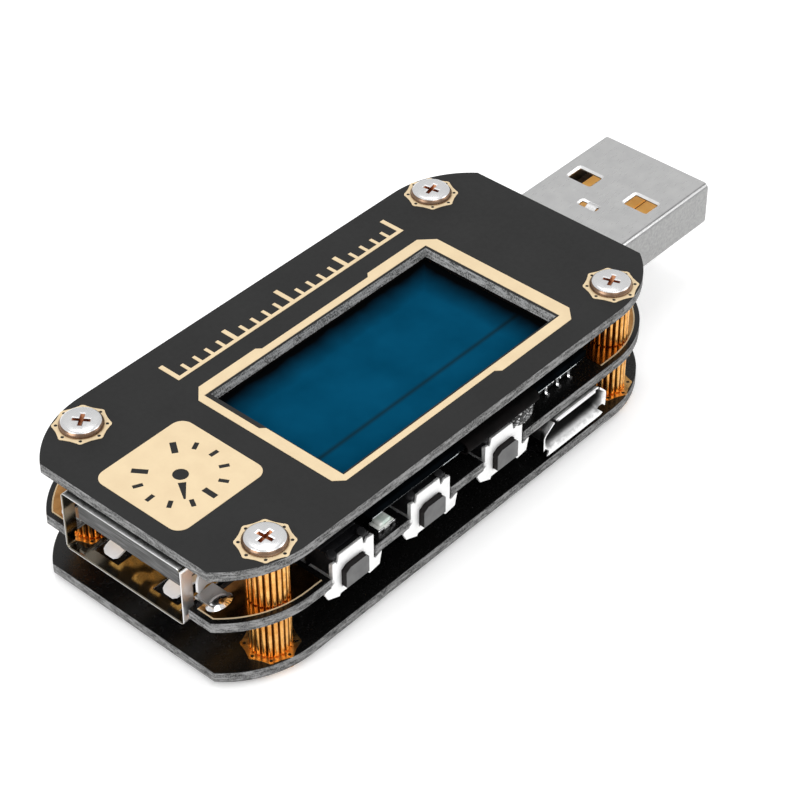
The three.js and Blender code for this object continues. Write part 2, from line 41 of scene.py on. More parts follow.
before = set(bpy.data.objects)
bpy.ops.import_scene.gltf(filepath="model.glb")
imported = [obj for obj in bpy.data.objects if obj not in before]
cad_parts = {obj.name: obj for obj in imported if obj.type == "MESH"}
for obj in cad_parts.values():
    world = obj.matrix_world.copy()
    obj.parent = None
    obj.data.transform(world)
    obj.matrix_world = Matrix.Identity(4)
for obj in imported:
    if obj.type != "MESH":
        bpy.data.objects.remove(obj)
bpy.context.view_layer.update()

plate_low, plate_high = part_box("top_plate")
PLATE_CENTRE = (plate_low + plate_high) / 2
TO_ROW = Matrix.Translation((PLATE_CENTRE.x, PLATE_CENTRE.y, 0)) @ Matrix.Scale(MM, 4)


def level(node, top):
    """The height in millimetres of a CAD node's top or bottom."""
    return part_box(node)[1 if top else 0].z / MM


def local_box(node):
    """A CAD node's box in millimetres in the plates' frame: ((x0, x1), (y0, y1), (z0, z1))."""
    inverse = TO_ROW.inverted()
    low, high = (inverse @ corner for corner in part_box(node))
    return (low.x, high.x), (low.y, high.y), (low.z, high.z)


# ---- Sizes ----

HALF_LENGTH, HALF_WIDTH = 26.4, 12.8
STRAIGHT_HALF, CORNER_RADIUS = 19.0, 9.4
HOLE_X, HOLE_Y, HOLE_RADIUS = 21.1, 10.15, 1.1
CORNERS = [(-HOLE_X, -HOLE_Y), (HOLE_X, -HOLE_Y), (HOLE_X, HOLE_Y), (-HOLE_X, HOLE_Y)]

Z_BOTTOM_UNDER, Z_BOTTOM_TOP = level("bottom_plate", False), level("bottom_plate", True)
Z_MAIN_UNDER, Z_MAIN_TOP = level("main_board", False), level("main_board", True)
Z_TOP_UNDER, Z_TOP_FACE = level("top_plate", False), level("top_plate", True)

WINDOW = (-11.6, 14.7, -9.3, 5.2)
BUTTON_XS = (-14.3, -5.2, 3.9)
PLATING = 0.035


# ---- Materials ----

LOOKS = {}
COAT_ROUGHNESS = 0.1
MIX_COLOR_INPUTS, MIX_COLOR_OUTPUT = (0, 6, 7), 2


class Look:
    """A node material being built: a Principled shader and short calls that add what varies over it."""

    def __init__(self, name, color, roughness, metallic=0.0, specular=0.5, coat=0.0):
        self.material = bpy.data.materials.new(name)
        self.material.use_nodes = True
        self.nodes = self.material.node_tree.nodes
        self.links = self.material.node_tree.links
        self.shader = self.nodes["Principled BSDF"]
        self.set("Base Color", (*color, 1))
        self.set("Roughness", roughness)
        self.set("Metallic", metallic)
        self.set("Specular IOR Level", specular)
        self.set("Coat Weight", coat)
        self.set("Coat Roughness", COAT_ROUGHNESS)
        self.material.diffuse_color = (*color, 1)
        LOOKS[name] = self.material

    def set(self, name, value):
        """A constant value on one of the shader's own sockets."""
        self.shader.inputs[name].default_value = value

    def vary(self, name, socket):
        """A socket of the shader that follows another node."""
        self.links.new(socket, self.shader.inputs[name])

    def feed(self, socket, value):
        """A node's input from another socket, a colour or a number."""
        if isinstance(value, bpy.types.NodeSocket):
            self.links.new(value, socket)
        else:
            socket.default_value = (*value, 1) if isinstance(value, tuple) else value

    def coords(self, stretch=(1, 1, 1)):
        """Object coordinates in millimetres, divided by a stretch along each axis."""
        source = self.nodes.new("ShaderNodeTexCoord")
        mapping = self.nodes.new("ShaderNodeMapping")
        mapping.inputs["Scale"].default_value = [1 / (MM * s) for s in stretch]
        self.links.new(source.outputs["Object"], mapping.inputs["Vector"])
        return mapping.outputs["Vector"]

    def noise(self, size, detail=3, stretch=(1, 1, 1), distortion=0.0):
        """Noise with features of about size millimetres."""
        node = self.nodes.new("ShaderNodeTexNoise")
        node.inputs["Scale"].default_value = 1 / size
        node.inputs["Detail"].default_value = detail
        node.inputs["Distortion"].default_value = distortion
        self.links.new(self.coords(stretch), node.inputs["Vector"])
        return node.outputs["Fac"]

    def ramp(self, factor, stops):
        """A colour ramp over a factor. stops are (position, colour) with a grey as one number."""
        node = self.nodes.new("ShaderNodeValToRGB")
        elements = node.color_ramp.elements
        while len(elements) < len(stops):
            elements.new(0.5)
        for element, (position, value) in zip(elements, stops):
            element.position = position
            rgb = (value, value, value) if isinstance(value, (int, float)) else value
            element.color = (*rgb, 1)
        self.links.new(factor, node.inputs["Fac"])
        return node.outputs["Color"]

    def mix(self, factor, a, b):
        """Colour a where the factor is 0 and b where it is 1; each is a socket or a colour."""
        node = self.nodes.new("ShaderNodeMix")
        node.data_type = "RGBA"
        for index, value in zip(MIX_COLOR_INPUTS, (factor, a, b)):
            self.feed(node.inputs[index], value)
        return node.outputs[MIX_COLOR_OUTPUT]

    def math(self, operation, a, b=0.0, clamp=False):
        node = self.nodes.new("ShaderNodeMath")
        node.operation = operation
        node.use_clamp = clamp
        for socket, value in zip(node.inputs, (a, b)):
            self.feed(socket, value)
        return node.outputs[0]

    def axis(self, index):
        """One object coordinate in metres, as a factor."""
        source = self.nodes.new("ShaderNodeTexCoord")
        split = self.nodes.new("ShaderNodeSeparateXYZ")
        self.links.new(source.outputs["Object"], split.inputs[0])
        return split.outputs[index]

    def tone(self, factor, low, high, target="Base Color"):
        """The base colour, or the named socket, from low to high over the middle of a factor."""
        self.vary(target, self.ramp(factor, [(0.3, low), (0.7, high)]))

    def glow(self, color, strength):
        """A little light of its own, for a surface that lies deep in shade."""
        self.set("Emission Color", (*color, 1))
        self.set("Emission Strength", strength)

    def bump(self, factor, height, strength=1.0):
        """Bump of a height in millimetres."""
        node = self.nodes.new("ShaderNodeBump")
        node.inputs["Distance"].default_value = height * MM
        node.inputs["Strength"].default_value = strength
        self.links.new(factor, node.inputs["Height"])
        self.vary("Normal", node.outputs["Normal"])


def solder_mask(name, grey, roughness, specular):
    look = Look(name, (grey, grey, grey * 1.02), roughness, specular=specular)
    look.tone(look.noise(6.0, 2), grey * 0.92, grey * 1.08)
    look.tone(look.noise(0.5, 4), roughness - 0.05, roughness + 0.05, "Roughness")
    look.bump(look.noise(0.22, 3), 0.006, 0.5)


def laminate(name, resin, glass, flecks_share):
    """A sawn laminate edge: pale glass bundles in layers through a dark resin, with a fine ragged grain."""
    look = Look(name, (glass / 3, glass / 3, glass / 3), 0.8, specular=0.2)
    layers = look.noise(0.2, 3, (6, 6, 1), 0.3)
    bundles = look.noise(0.1, 3, (1, 1, 1.3), 0.3)
    base = look.ramp(layers, [(0.36, resin), (0.5, resin * 3), (0.62, glass * 0.72)])
    flecks = look.ramp(bundles, [(0.44, 0.0), (0.6, 1.0)])
    share = look.math("MULTIPLY", flecks, flecks_share)
    look.vary("Base Color", look.mix(share, base, (glass, glass, glass * 0.985)))
    look.bump(bundles, 0.02, 0.8)


def gold_plating():
    look = Look("gold_plating", (0.80, 0.65, 0.42), 0.5, metallic=0.3, specular=0.2)
    look.tone(look.noise(1.6, 4), (0.76, 0.60, 0.385), (0.81, 0.65, 0.42))
    look.tone(look.noise(0.25, 4), 0.44, 0.56, "Roughness")
    look.bump(look.noise(0.12, 3), 0.003, 0.3)


def copper_land():
    """Wide plated areas inside the stack, brown and so shiny that they mirror what stands on them."""
    look = Look("plated_land", (0.62, 0.33, 0.12), 0.16, metallic=1.0)
    look.tone(look.noise(0.9, 4), (0.34, 0.16, 0.05), (0.56, 0.29, 0.10))
    look.bump(look.noise(0.5, 3), 0.004, 0.4)


def tongue_face():
    """Black plastic whose face is rubbed grey in streaks along its width."""
    look = Look("insert_grey", (0.05, 0.05, 0.05), 0.45, specular=0.3)
    streaks = look.noise(0.12, 4, (1, 18, 1))
    look.vary("Base Color", look.ramp(streaks, [(0.36, 0.03), (0.52, 0.065), (0.68, 0.13)]))
    look.bump(streaks, 0.01, 0.5)


def port_sheet():
    """Tinned sheet, bright at the mouth's lips and painted darker as shade the deeper it lies in the port."""
    look = Look("micro_steel", (0.85, 0.85, 0.84), 0.3, metallic=1.0)
    bright, deep_shade, depth = 0.92, 0.16, 0.6 * MM
    into = look.math("SUBTRACT", look.axis(1), local_box("micro_usb_shell")[1][0] * MM + PLATE_CENTRE.y)
    cloud = look.math("MULTIPLY", look.math("SUBTRACT", look.noise(0.5, 4), 0.5), 0.5)
    share = look.math("ADD", look.math("DIVIDE", into, depth), cloud)
    # Painted shade: the colour darkens with depth into the port, with a little random cloud.
    look.vary("Base Color", look.ramp(share, [(0.14, bright), (0.45, bright / 2.6), (1.0, deep_shade)]))
    look.tone(look.noise(0.1, 3), 0.3, 0.42, "Roughness")


def metal(
    name, low, high, roughness, grain=(1, 1, 1), grain_size=0.12, depth=0.003, spread=0.08, tone_size=1.4
):
    """Plated sheet or turned metal: a colour between low and high, with fine drawn or turned grain."""
    look = Look(name, low, roughness, metallic=1.0)
    look.tone(look.noise(tone_size, 4), low, high)
    fine = look.noise(grain_size, 4, grain)
    look.tone(fine, roughness - spread, roughness + spread, "Roughness")
    look.bump(fine, depth, 0.5)
    return look


def plastic(name, low, high, roughness, grain=0.1, depth=0.004, specular=0.4, coat=0.0):
    look = Look(name, low, roughness, specular=specular, coat=coat)
    look.tone(look.noise(1.2, 3), low, high)
    look.tone(look.noise(grain * 3, 3), roughness - 0.06, roughness + 0.06, "Roughness")
    look.bump(look.noise(grain, 4), depth, 0.6)
    return look


# The screen's black border with the painted shadow of the window's walls: axis, direction, where it starts
# and over how much it fades, in millimetres
SCREEN_BORDERS_AND_SHADOWS = ((0, 1, 12.6, 3.0), (0, -1, 11.3, 0.9), (1, 1, 3.5, 2.6))


def screen_film():
    """Deep blue polarised film with a soft black band on three sides, the screen's black border with the
    painted shadow of the window's walls, and a faint dark seam along it.
    """
    look = Look("screen_film", (0.001, 0.055, 0.12), 0.3, specular=0.0)
    cloud = look.noise(5.0, 3)
    blue = look.ramp(cloud, [(0.3, (0.0008, 0.044, 0.092)), (0.7, (0.0018, 0.063, 0.130))])
    seam_y, seam_half = PLATE_CENTRE.y - 5.75 * MM, 0.34 * MM
    distance = look.math("ABSOLUTE", look.math("SUBTRACT", look.axis(1), seam_y))
    seam = look.math("SUBTRACT", 1.0, look.math("DIVIDE", distance, seam_half), clamp=True)
    seamed = look.mix(look.math("MULTIPLY", seam, 0.75), blue, (0.006, 0.016, 0.018))
    ragged = look.math("MULTIPLY", look.math("SUBTRACT", look.noise(2.2, 2), 0.5), 0.9 * MM)
    # Painted shadow: the film darkens towards three of the window's walls, together with the screen's black
    # border.
    dark = None
    for axis, sign, start, fade in SCREEN_BORDERS_AND_SHADOWS:
        place = look.math("MULTIPLY", look.axis(axis), sign)
        depth = look.math("SUBTRACT", place, start * MM + sign * PLATE_CENTRE[axis])
        depth = look.math("ADD", look.math("ADD", depth, ragged), fade * MM / 2)
        side = look.math("DIVIDE", depth, fade * MM, clamp=True)
        dark = side if dark is None else look.math("MAXIMUM", dark, side)
    look.vary("Base Color", look.mix(dark, seamed, (0.0015, 0.002, 0.0025)))
    look.bump(look.noise(0.3, 2), 0.001, 0.2)


def granular():
    """Pressed iron-powder block: dark with pale grains."""
    look = Look("pressed_powder", (0.03, 0.03, 0.03), 0.5, specular=0.6)
    grain = look.noise(0.25, 3, (1, 1, 1), 1.2)
    look.vary("Base Color", look.ramp(grain, [(0.48, 0.008), (0.55, 0.04), (0.64, 0.75)]))
    look.bump(grain, 0.12, 1.0)


def make_looks():
    solder_mask("mask_top", 0.020, 0.55, 0.16)
    solder_mask("mask_gloss", 0.0035, 0.25, 0.35)
    laminate("laminate_edge", 0.03, 0.33, 0.5)
    laminate("laminate_window", 0.06, 0.62, 0.75)
    gold_plating()
    copper_land()
    metal("pad_gold", (0.80, 0.42, 0.12), (0.96, 0.62, 0.26), 0.3, (1, 1, 1), 0.5)
    metal("standoff_brass", (0.62, 0.26, 0.05), (0.90, 0.50, 0.16), 0.24, (1, 1, 30), 0.08, tone_size=0.6)
    metal("standoff_groove_painted_shade", (0.10, 0.035, 0.004), (0.20, 0.08, 0.012), 0.4, (1, 1, 30), 0.08)
    metal("screw_nickel", (0.78, 0.78, 0.79), (0.84, 0.84, 0.84), 0.28, (1, 1, 1), 0.3, 0.0006, 0.03)
    metal("screw_side_painted_reflection", (0.15, 0.09, 0.06), (0.32, 0.21, 0.14), 0.3, (1, 1, 1), 0.3, 0.001)
    metal("recess_painted_shade", (0.30, 0.12, 0.06), (0.52, 0.24, 0.12), 0.35, (1, 1, 1), 0.2)
    metal("shell_steel", (0.59, 0.59, 0.59), (0.65, 0.65, 0.645), 0.34, (6, 1, 1), 0.12, 0.0006)
    # Lit and shaded copies of the shells' steel: painted shade on sides, bends and insides, painted
    # highlights on bends and rims.
    metal("shell_side_painted_shade", (0.28, 0.28, 0.28), (0.37, 0.37, 0.365), 0.4, (2, 1, 1), 0.12, 0.003, tone_size=0.3)
    metal("shell_inside_painted_shade", (0.26, 0.235, 0.19), (0.31, 0.28, 0.22), 0.13, (1, 1, 1), 0.4, 0.0004, 0.02)
    metal("bend_painted_shade", (0.28, 0.28, 0.28), (0.36, 0.36, 0.36), 0.35, (14, 1, 1), 0.08, 0.001)
    metal("bend_painted_highlight", (0.54, 0.54, 0.54), (0.60, 0.60, 0.60), 0.35, (14, 1, 1), 0.08, 0.001)
    metal("plug_inside_painted_shade", (0.30, 0.26, 0.22), (0.38, 0.34, 0.30), 0.45, (1, 1, 1), 0.3, 0.001)
    metal("shell_painted_highlight", (0.80, 0.80, 0.80), (0.88, 0.88, 0.88), 0.35, (14, 1, 1), 0.08, 0.001)
    plastic("finger_tin", (0.80, 0.80, 0.81), (0.92, 0.92, 0.93), 0.5, 0.3, 0.004, 0.5)
    plug_gold = plastic("plug_gold", (0.80, 0.46, 0.12), (0.95, 0.62, 0.22), 0.4, 0.5, 0.002, 0.6)
    plug_gold.glow((1.0, 0.50, 0.12), 0.35)
    port_sheet()
    tongue_face()
    metal("button_tin", (0.84, 0.84, 0.835), (0.93, 0.93, 0.925), 0.62, (1, 1, 1), 0.2, 0.002)
    contact_gold = metal("contact_gold", (0.92, 0.58, 0.18), (1.0, 0.70, 0.28), 0.25, (10, 1, 1), 0.08, 0.001)
    contact_gold.glow((1.0, 0.55, 0.16), 0.4)
    metal("solder", (0.80, 0.80, 0.81), (0.90, 0.90, 0.91), 0.15, (1, 1, 1), 0.4, 0.02)
    metal("glass_edge", (0.22, 0.24, 0.25), (0.36, 0.38, 0.38), 0.3)
    plastic("housing_black", (0.005, 0.005, 0.006), (0.010, 0.010, 0.011), 0.5, specular=0.2)
    plastic("insert_brown", (0.06, 0.044, 0.034), (0.10, 0.075, 0.06), 0.5, 0.2)
    plastic("tongue_grey", (0.10, 0.10, 0.10), (0.16, 0.16, 0.16), 0.5, 0.2)
    plastic("plunger_grey", (0.095, 0.095, 0.095), (0.135, 0.135, 0.135), 0.55, 0.12, 0.012)
    plastic("plunger_side_painted_shade", (0.006, 0.005, 0.005), (0.012, 0.010, 0.010), 0.6, 0.12, 0.012, 0.15)
    plastic("chip_epoxy", (0.016, 0.016, 0.017), (0.026, 0.026, 0.027), 0.55, 0.08, 0.006)
    plastic("resistor_black", (0.02, 0.02, 0.021), (0.03, 0.03, 0.031), 0.4)
    plastic("ceramic_tan", (0.30, 0.20, 0.12), (0.38, 0.27, 0.17), 0.5)
    plastic("film_dark", (0.002, 0.002, 0.002), (0.005, 0.004, 0.004), 0.7, 0.3, 0.01, 0.03)
    plastic("foam_tape", (0.02, 0.02, 0.021), (0.035, 0.035, 0.036), 0.95, 0.3, 0.08, 0.1)
    plastic("glass_dark", (0.001, 0.0013, 0.0016), (0.002, 0.003, 0.004), 0.4, 0.5, 0.001, 0.0)
    plastic("led_white", (0.60, 0.62, 0.58), (0.92, 0.94, 0.90), 0.4)
    plastic("led_lens", (0.42, 0.58, 0.50), (0.88, 0.90, 0.86), 0.15, 0.15, 0.02, 0.6, 0.3)
    screen_film()
    granular()


# ---- Mesh building ----

# Each plane maps (u, v, w) to (x, y, z); an outline is extruded along w
PLANE_XY = Matrix.Identity(4)
PLANE_XZ = Matrix(((1, 0, 0, 0), (0, 0, -1, 0), (0, 1, 0, 0), (0, 0, 0, 1)))
SWAP_Y_Z = Matrix(((1, 0, 0, 0), (0, 0, 1, 0), (0, 1, 0, 0), (0, 0, 0, 1)))
SMOOTH_ANGLE = math.radians(35)
SAME_POINT = 1e-4
SQUARE_TO_AXIS = 0.9999


def linked(name, data):
    """A new object in the scene."""
    piece = bpy.data.objects.new(name, data)
    bpy.context.scene.collection.objects.link(piece)
    return piece


def show(name, looks, meshes, *nodes, body=ROOT, flat=False):
    """A visible piece from meshes in millimetres; it rides on a body and stands for CAD nodes, if any.

    A flat-sided piece keeps its faces square to an axis flat beside rounded edges.
    """
    mesh = merged(*meshes) if isinstance(meshes, list) else meshes
    mesh.transform(TO_ROW)
    mesh.name = name
    for look in [looks] if isinstance(looks, str) else looks:
        mesh.materials.append(LOOKS[look])
    mesh.polygons.foreach_set("use_smooth", [True] * len(mesh.polygons))
    mesh.set_sharp_from_angle(angle=SMOOTH_ANGLE)
    piece = linked(name, mesh)
    if flat:
        for polygon in mesh.polygons:
            if max(abs(part) for part in polygon.normal) > SQUARE_TO_AXIS:
                polygon.use_smooth = False
    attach(piece, body)
    if nodes:
        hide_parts(*nodes)


def paint(mesh, look_index):
    """Picks the look of each polygon by its centre and normal."""
    for polygon in mesh.polygons:
        polygon.material_index = look_index(polygon.center, polygon.normal)


def raw_mesh(vertices, faces):
    mesh = bpy.data.meshes.new("raw")
    mesh.from_pydata([tuple(v) for v in vertices], [], faces)
    mesh.update()
    return mesh


def poured(bm):
    """A new mesh from a bmesh, which is freed."""
    mesh = bpy.data.meshes.new("poured")
    bm.to_mesh(mesh)
    bm.free()
    return mesh


def placed(bm, centre, reach):
    """A mesh from a bmesh of about unit size, stretched by a reach along each axis and moved."""
    bmesh.ops.scale(bm, vec=reach, verts=bm.verts)
    bmesh.ops.translate(bm, vec=centre, verts=bm.verts)
    return poured(bm)


def cleaned(mesh):
    """Merges doubled vertices and turns all faces outwards."""
    bm = bmesh.new()
    bm.from_mesh(mesh)
    bmesh.ops.remove_doubles(bm, verts=bm.verts, dist=SAME_POINT)
    bmesh.ops.recalc_face_normals(bm, faces=bm.faces)
    bm.to_mesh(mesh)
    bm.free()
    return mesh


def merged(*meshes):
    """Several meshes in one."""
    bm = bmesh.new()
    for mesh in meshes:
        bm.from_mesh(mesh)
        bpy.data.meshes.remove(mesh)
    return poured(bm)


def extrusion(loops, w0, w1, bevel=0.0, plane=PLANE_XY):
    """Closed loops of (u, v), the first outside and the rest holes, extruded with soft edges."""
    curve = bpy.data.curves.new("outline", "CURVE")
    curve.dimensions = "2D"
    curve.fill_mode = "BOTH"
    curve.extrude = (w1 - w0) / 2 - bevel
    curve.bevel_depth = bevel
    curve.bevel_resolution = 1
    curve.offset = -bevel
    for loop in loops:
        spline = curve.splines.new("POLY")
        spline.points.add(len(loop) - 1)
        spline.use_cyclic_u = True
        for point, (u, v) in zip(spline.points, loop):
            point.co = (u, v, 0, 1)
    mesh = applied(linked("outline", curve))
    bpy.data.curves.remove(curve)
    mesh.transform(plane @ Matrix.Translation((0, 0, (w0 + w1) / 2)))
    return cleaned(mesh)


def block(x0, x1, y0, y1, z0, z1, bevel=0.05, segments=2):
    """A box with soft edges."""
    bm = bmesh.new()
    bmesh.ops.create_cube(bm, size=1)
    bmesh.ops.scale(bm, vec=(x1 - x0, y1 - y0, z1 - z0), verts=bm.verts)
    bmesh.ops.translate(bm, vec=((x0 + x1) / 2, (y0 + y1) / 2, (z0 + z1) / 2), verts=bm.verts)
    if bevel:
        bmesh.ops.bevel(bm, geom=bm.edges, offset=bevel, segments=segments, profile=0.5, affect="EDGES")
    return poured(bm)


def node_block(node, x, y, foot, top, bevel=0.05, segments=2):
    """A block in a CAD node's box, kept back by x and y at its sides, by foot below and by top above."""
    (x0, x1), (y0, y1), (z0, z1) = local_box(node)
    return block(x0 + x, x1 - x, y0 + y, y1 - y, z0 + foot, z1 - top, bevel, segments)


def turned(profile, segments, ripple=None):
    """A profile of (radius, z) turned about Z; ripple(radius, angle) changes the radius of marked points."""
    vertices, faces = [], []
    for radius, z, *mark in profile:
        for i in range(segments):
            angle = 2 * math.pi * i / segments
            r = ripple(radius, angle) if mark and ripple else radius
            vertices.append((r * math.cos(angle), r * math.sin(angle), z))
    for row in range(len(profile) - 1):
        for i in range(segments):
            a, b = row * segments + i, row * segments + (i + 1) % segments
            faces.append((a, b, b + segments, a + segments))
    return cleaned(raw_mesh(vertices, faces))


def loft(rings, joined_ends=False):
    """Skin over rings of points; the ends are capped, or the last ring joins the first."""
    count = len(rings[0])
    vertices = [p for ring in rings for p in ring]
    faces = []
    for row in range(len(rings) - (0 if joined_ends else 1)):
        a0, b0 = row * count, ((row + 1) % len(rings)) * count
        for i in range(count):
            j = (i + 1) % count
            faces.append((a0 + i, a0 + j, b0 + j, b0 + i))
    if not joined_ends:
        faces.append(tuple(range(count)))
        faces.append(tuple(range(len(vertices) - count, len(vertices))))
    return cleaned(raw_mesh(vertices, faces))


CROWN_SIDES = (1, 0.6, 0.2, -0.2, -0.6, -1)


def ribbon(path, v0, v1, thickness, axis="Y", nose=0.0, crown=0.0):
    """A strip that follows a path of (u, z) and is v0 to v1 wide along the named axis.

    A nose narrows the far end over that length, and a crown bellies out the under side.
    """
    count = len(path)
    middle, half = (v0 + v1) / 2, (v1 - v0) / 2
    rings = []
    for i, (u, z) in enumerate(path):
        before, after = path[max(i - 1, 0)], path[min(i + 1, count - 1)]
        du, dz = after[0] - before[0], after[1] - before[1]
        length = math.hypot(du, dz)
        nu, nz = -dz / length * thickness / 2, du / length * thickness / 2
        left = math.dist(path[i], path[-1])
        reach = half
        if nose and left < nose:
            reach = half * (0.5 + 0.5 * math.sqrt(1 - (1 - left / nose) ** 2))
        section = [(1, -1), (1, 1)]
        sides = CROWN_SIDES if crown else (1, -1)
        section += [(-1 - 2 * crown / thickness * (1 - side**2), side) for side in sides]
        points = [(u + nu * out, z + nz * out, middle + reach * side) for out, side in section]
        rings.append([(a, v, b) if axis == "Y" else (v, a, b) for a, b, v in points])
    return loft(rings)


def arc(cx, cy, radius, start, end, count):
    """Points on an arc; angles in degrees."""
    angles = [math.radians(start + (end - start) * i / count) for i in range(count + 1)]
    return [(cx + radius * math.cos(a), cy + radius * math.sin(a)) for a in angles]


def circle(cx, cy, radius, count=24):
    return arc(cx, cy, radius, 0, 360, count)[:-1]


def rounded_rectangle(u0, u1, v0, v1, radius, count=6):
    low_u, high_u, low_v, high_v = u0 + radius, u1 - radius, v0 + radius, v1 - radius
    centres = ((high_u, low_v, -90), (high_u, high_v, 0), (low_u, high_v, 90), (low_u, low_v, 180))
    return [point for u, v, start in centres for point in arc(u, v, radius, start, start + 90, count)]


def cut(mesh, tool):
    """The mesh with a tool's volume taken away."""
    work, cutter = linked("work", mesh), linked("tool", tool)
    modifier = work.modifiers.new("cut", "BOOLEAN")
    modifier.operation = "DIFFERENCE"
    modifier.solver = "EXACT"
    modifier.object = cutter
    result = applied(work)
    bpy.data.objects.remove(cutter)
    return cleaned(result)


def applied(piece):
    """The piece's mesh with its modifiers applied; the piece itself is removed."""
    bpy.context.view_layer.update()
    mesh = bpy.data.meshes.new_from_object(piece.evaluated_get(bpy.context.evaluated_depsgraph_get()))
    bpy.data.objects.remove(piece)
    return mesh


def softened(mesh, width, segments, angle=40):
    """The mesh with its sharp edges rounded."""
    piece = linked("work", mesh)
    modifier = piece.modifiers.new("soft", "BEVEL")
    modifier.width = width
    modifier.segments = segments
    modifier.limit_method = "ANGLE"
    modifier.angle_limit = math.radians(angle)
    modifier.use_clamp_overlap = True
    return applied(piece)


def span(side, near, far):
    """Two distances from the middle as coordinates on one side of it, the lower one first."""
    return sorted((side * near, side * far))


def moved(mesh, x=0.0, y=0.0, z=0.0, turn=0.0):
    mesh.transform(Matrix.Translation((x, y, z)) @ Matrix.Rotation(turn, 4, "Z"))
    return mesh


# ---- Boards ----

ARC_STEPS = 28
CUTOUT_GAP = 0.2
PAD_BORE = HOLE_RADIUS + 0.05


def board_corners():
    """The corners of the boards' shared outline, anticlockwise from the end of the button side."""
    centre_y = HALF_WIDTH - CORNER_RADIUS
    sweep = math.degrees(math.asin((HALF_LENGTH - STRAIGHT_HALF) / CORNER_RADIUS))
    starts = ((1, -1, -90), (1, 1, 90 - sweep), (-1, 1, 90), (-1, -1, -90 - sweep))
    return [
        arc(sx * STRAIGHT_HALF, sy * centre_y, CORNER_RADIUS, start, start + sweep, ARC_STEPS)
        for sx, sy, start in starts
    ]


def main_board_outline():
    """The outline with cut-outs for the buttons, the plug and the socket."""
    near_right, far_right, far_left, near_left = board_corners()
    plug_x0 = local_box("usb_plug_shell")[0][0] - CUTOUT_GAP
    socket_x1 = local_box("usb_socket_shell")[0][1] + CUTOUT_GAP
    plug_half, socket_half, button_half, button_depth_y = 6.2, 6.85, 2.55, -9.4
    points = []
    for x in BUTTON_XS:
        x0, x1 = x - button_half, x + button_half
        points += [(x0, -HALF_WIDTH), (x0, button_depth_y), (x1, button_depth_y), (x1, -HALF_WIDTH)]
    points += near_right
    points += [
        (HALF_LENGTH, -plug_half), (plug_x0, -plug_half),
        (plug_x0, plug_half), (HALF_LENGTH, plug_half),
    ]
    points += far_right + far_left
    points += [
        (-HALF_LENGTH, socket_half), (socket_x1, socket_half),
        (socket_x1, -socket_half), (-HALF_LENGTH, -socket_half),
    ]
    return points + near_left


def make_board(name, node, outline, holes, face_look):
    """A board with its four screw holes; the sawn edges are paler round a window."""
    z0, z1 = level(node, False), level(node, True)
    loops = [outline] + [circle(x, y, HOLE_RADIUS, 32) for x, y in CORNERS] + holes
    looks = [face_look, "laminate_edge", "laminate_window"]
    mesh = extrusion(loops, z0, z1, 0.03)
    near_x0, near_x1, near_y = WINDOW[0] - 0.1, WINDOW[1] + 0.1, HALF_WIDTH - 2

    def look_index(at, normal):
        if abs(normal.z) > 0.3:
            return 0
        return 2 if holes and near_x0 < at.x < near_x1 and abs(at.y) < near_y else 1

    paint(mesh, look_index)
    show(name, looks, mesh, node, flat=True)


def make_boards():
    x0, x1, y0, y1 = WINDOW
    window = [(x0, y0), (x0, y1), (x1, y1), (x1, y0)]
    plain = [point for corner in board_corners() for point in corner]
    make_board("top_plate_laminate", "top_plate", plain, [window], "mask_top")
    make_board("main_board_laminate", "main_board", main_board_outline(), [], "mask_gloss")
    make_board("bottom_plate_laminate", "bottom_plate", plain, [], "mask_gloss")


# ---- Gold artwork ----


def scalloped_pad(x, y):
    """A plated land round a screw hole: an octagon with a lobe and an open via at each corner."""
    via_count, via_circle, via_radius, lobe, dip = 8, 2.05, 0.15, 0.36, 2.17
    pitch = 360 / via_count
    outer, vias = [], []
    for i in range(via_count):
        middle = pitch * i
        a = math.radians(middle)
        lobe_x, lobe_y = x + via_circle * math.cos(a), y + via_circle * math.sin(a)
        outer += arc(lobe_x, lobe_y, lobe, middle - 48, middle + 48, 8)
        between = math.radians(middle + pitch / 2)
        outer.append((x + dip * math.cos(between), y + dip * math.sin(between)))
        vias.append(circle(lobe_x, lobe_y, via_radius, 12))
    return [outer, circle(x, y, PAD_BORE, 32)] + vias


def pads(name, z, direction, look="pad_gold"):
    """The four pads on one face of a board; direction is the way that the face looks."""
    low, high = sorted((z, z + direction * PLATING))
    meshes = [extrusion(scalloped_pad(x, y), low, high) for x, y in CORNERS]
    show(name, look, meshes)


def window_frame():
    """The gold frame round the display window, with cut corners and stepped edges."""
    outer = [
        (-12.05, -10.1), (5.75, -10.1), (6.2, -10.55), (15.2, -10.55), (16.3, -9.45),
        (16.3, 5.25), (15.05, 6.5), (8.65, 6.5), (8.25, 6.1), (-4.7, 6.1), (-5.1, 6.5),
        (-11.65, 6.5), (-12.85, 5.3), (-12.85, -9.3),
    ]
    inner = [(-11.7, -9.5), (14.95, -9.5), (14.95, 5.4), (-12.1, 5.4), (-12.1, -0.75), (-11.7, -1.15)]
    return [outer, inner]


def gauge_badge():
    """A rounded gold square with a plain dial left open in it: a ring of ticks, a hub and a needle."""
    cx, cy, lean = -20.05, 0.0, math.radians(232)
    loops = [rounded_rectangle(-24.9, -15.2, -4.8, 4.8, 1.1, 8)]
    ticks, first, last, tick_end = 11, 125, 415, 3.9
    for i in range(ticks):
        a = math.radians(first + (last - first) * i / (ticks - 1))
        inner, half = (2.55, 0.27) if i % 5 == 0 else (3.05, 0.2)
        loops.append(bar(cx, cy, a, inner, tick_end, half, half))
    loops.append(bar(cx, cy, lean, 0.95, 2.9, 0.34, 0.08))
    loops.append(circle(cx, cy, 0.66))
    return loops


def bar(cx, cy, angle, r0, r1, half0, half1):
    """A straight bar that points away from a centre, r0 to r1 long, half0 to half1 in half-width."""
    along = (math.cos(angle), math.sin(angle))
    across = (-along[1], along[0])
    corners = ((r0, -half0), (r1, -half1), (r1, half1), (r0, half0))
    return [(cx + r * along[0] + h * across[0], cy + r * along[1] + h * across[1]) for r, h in corners]


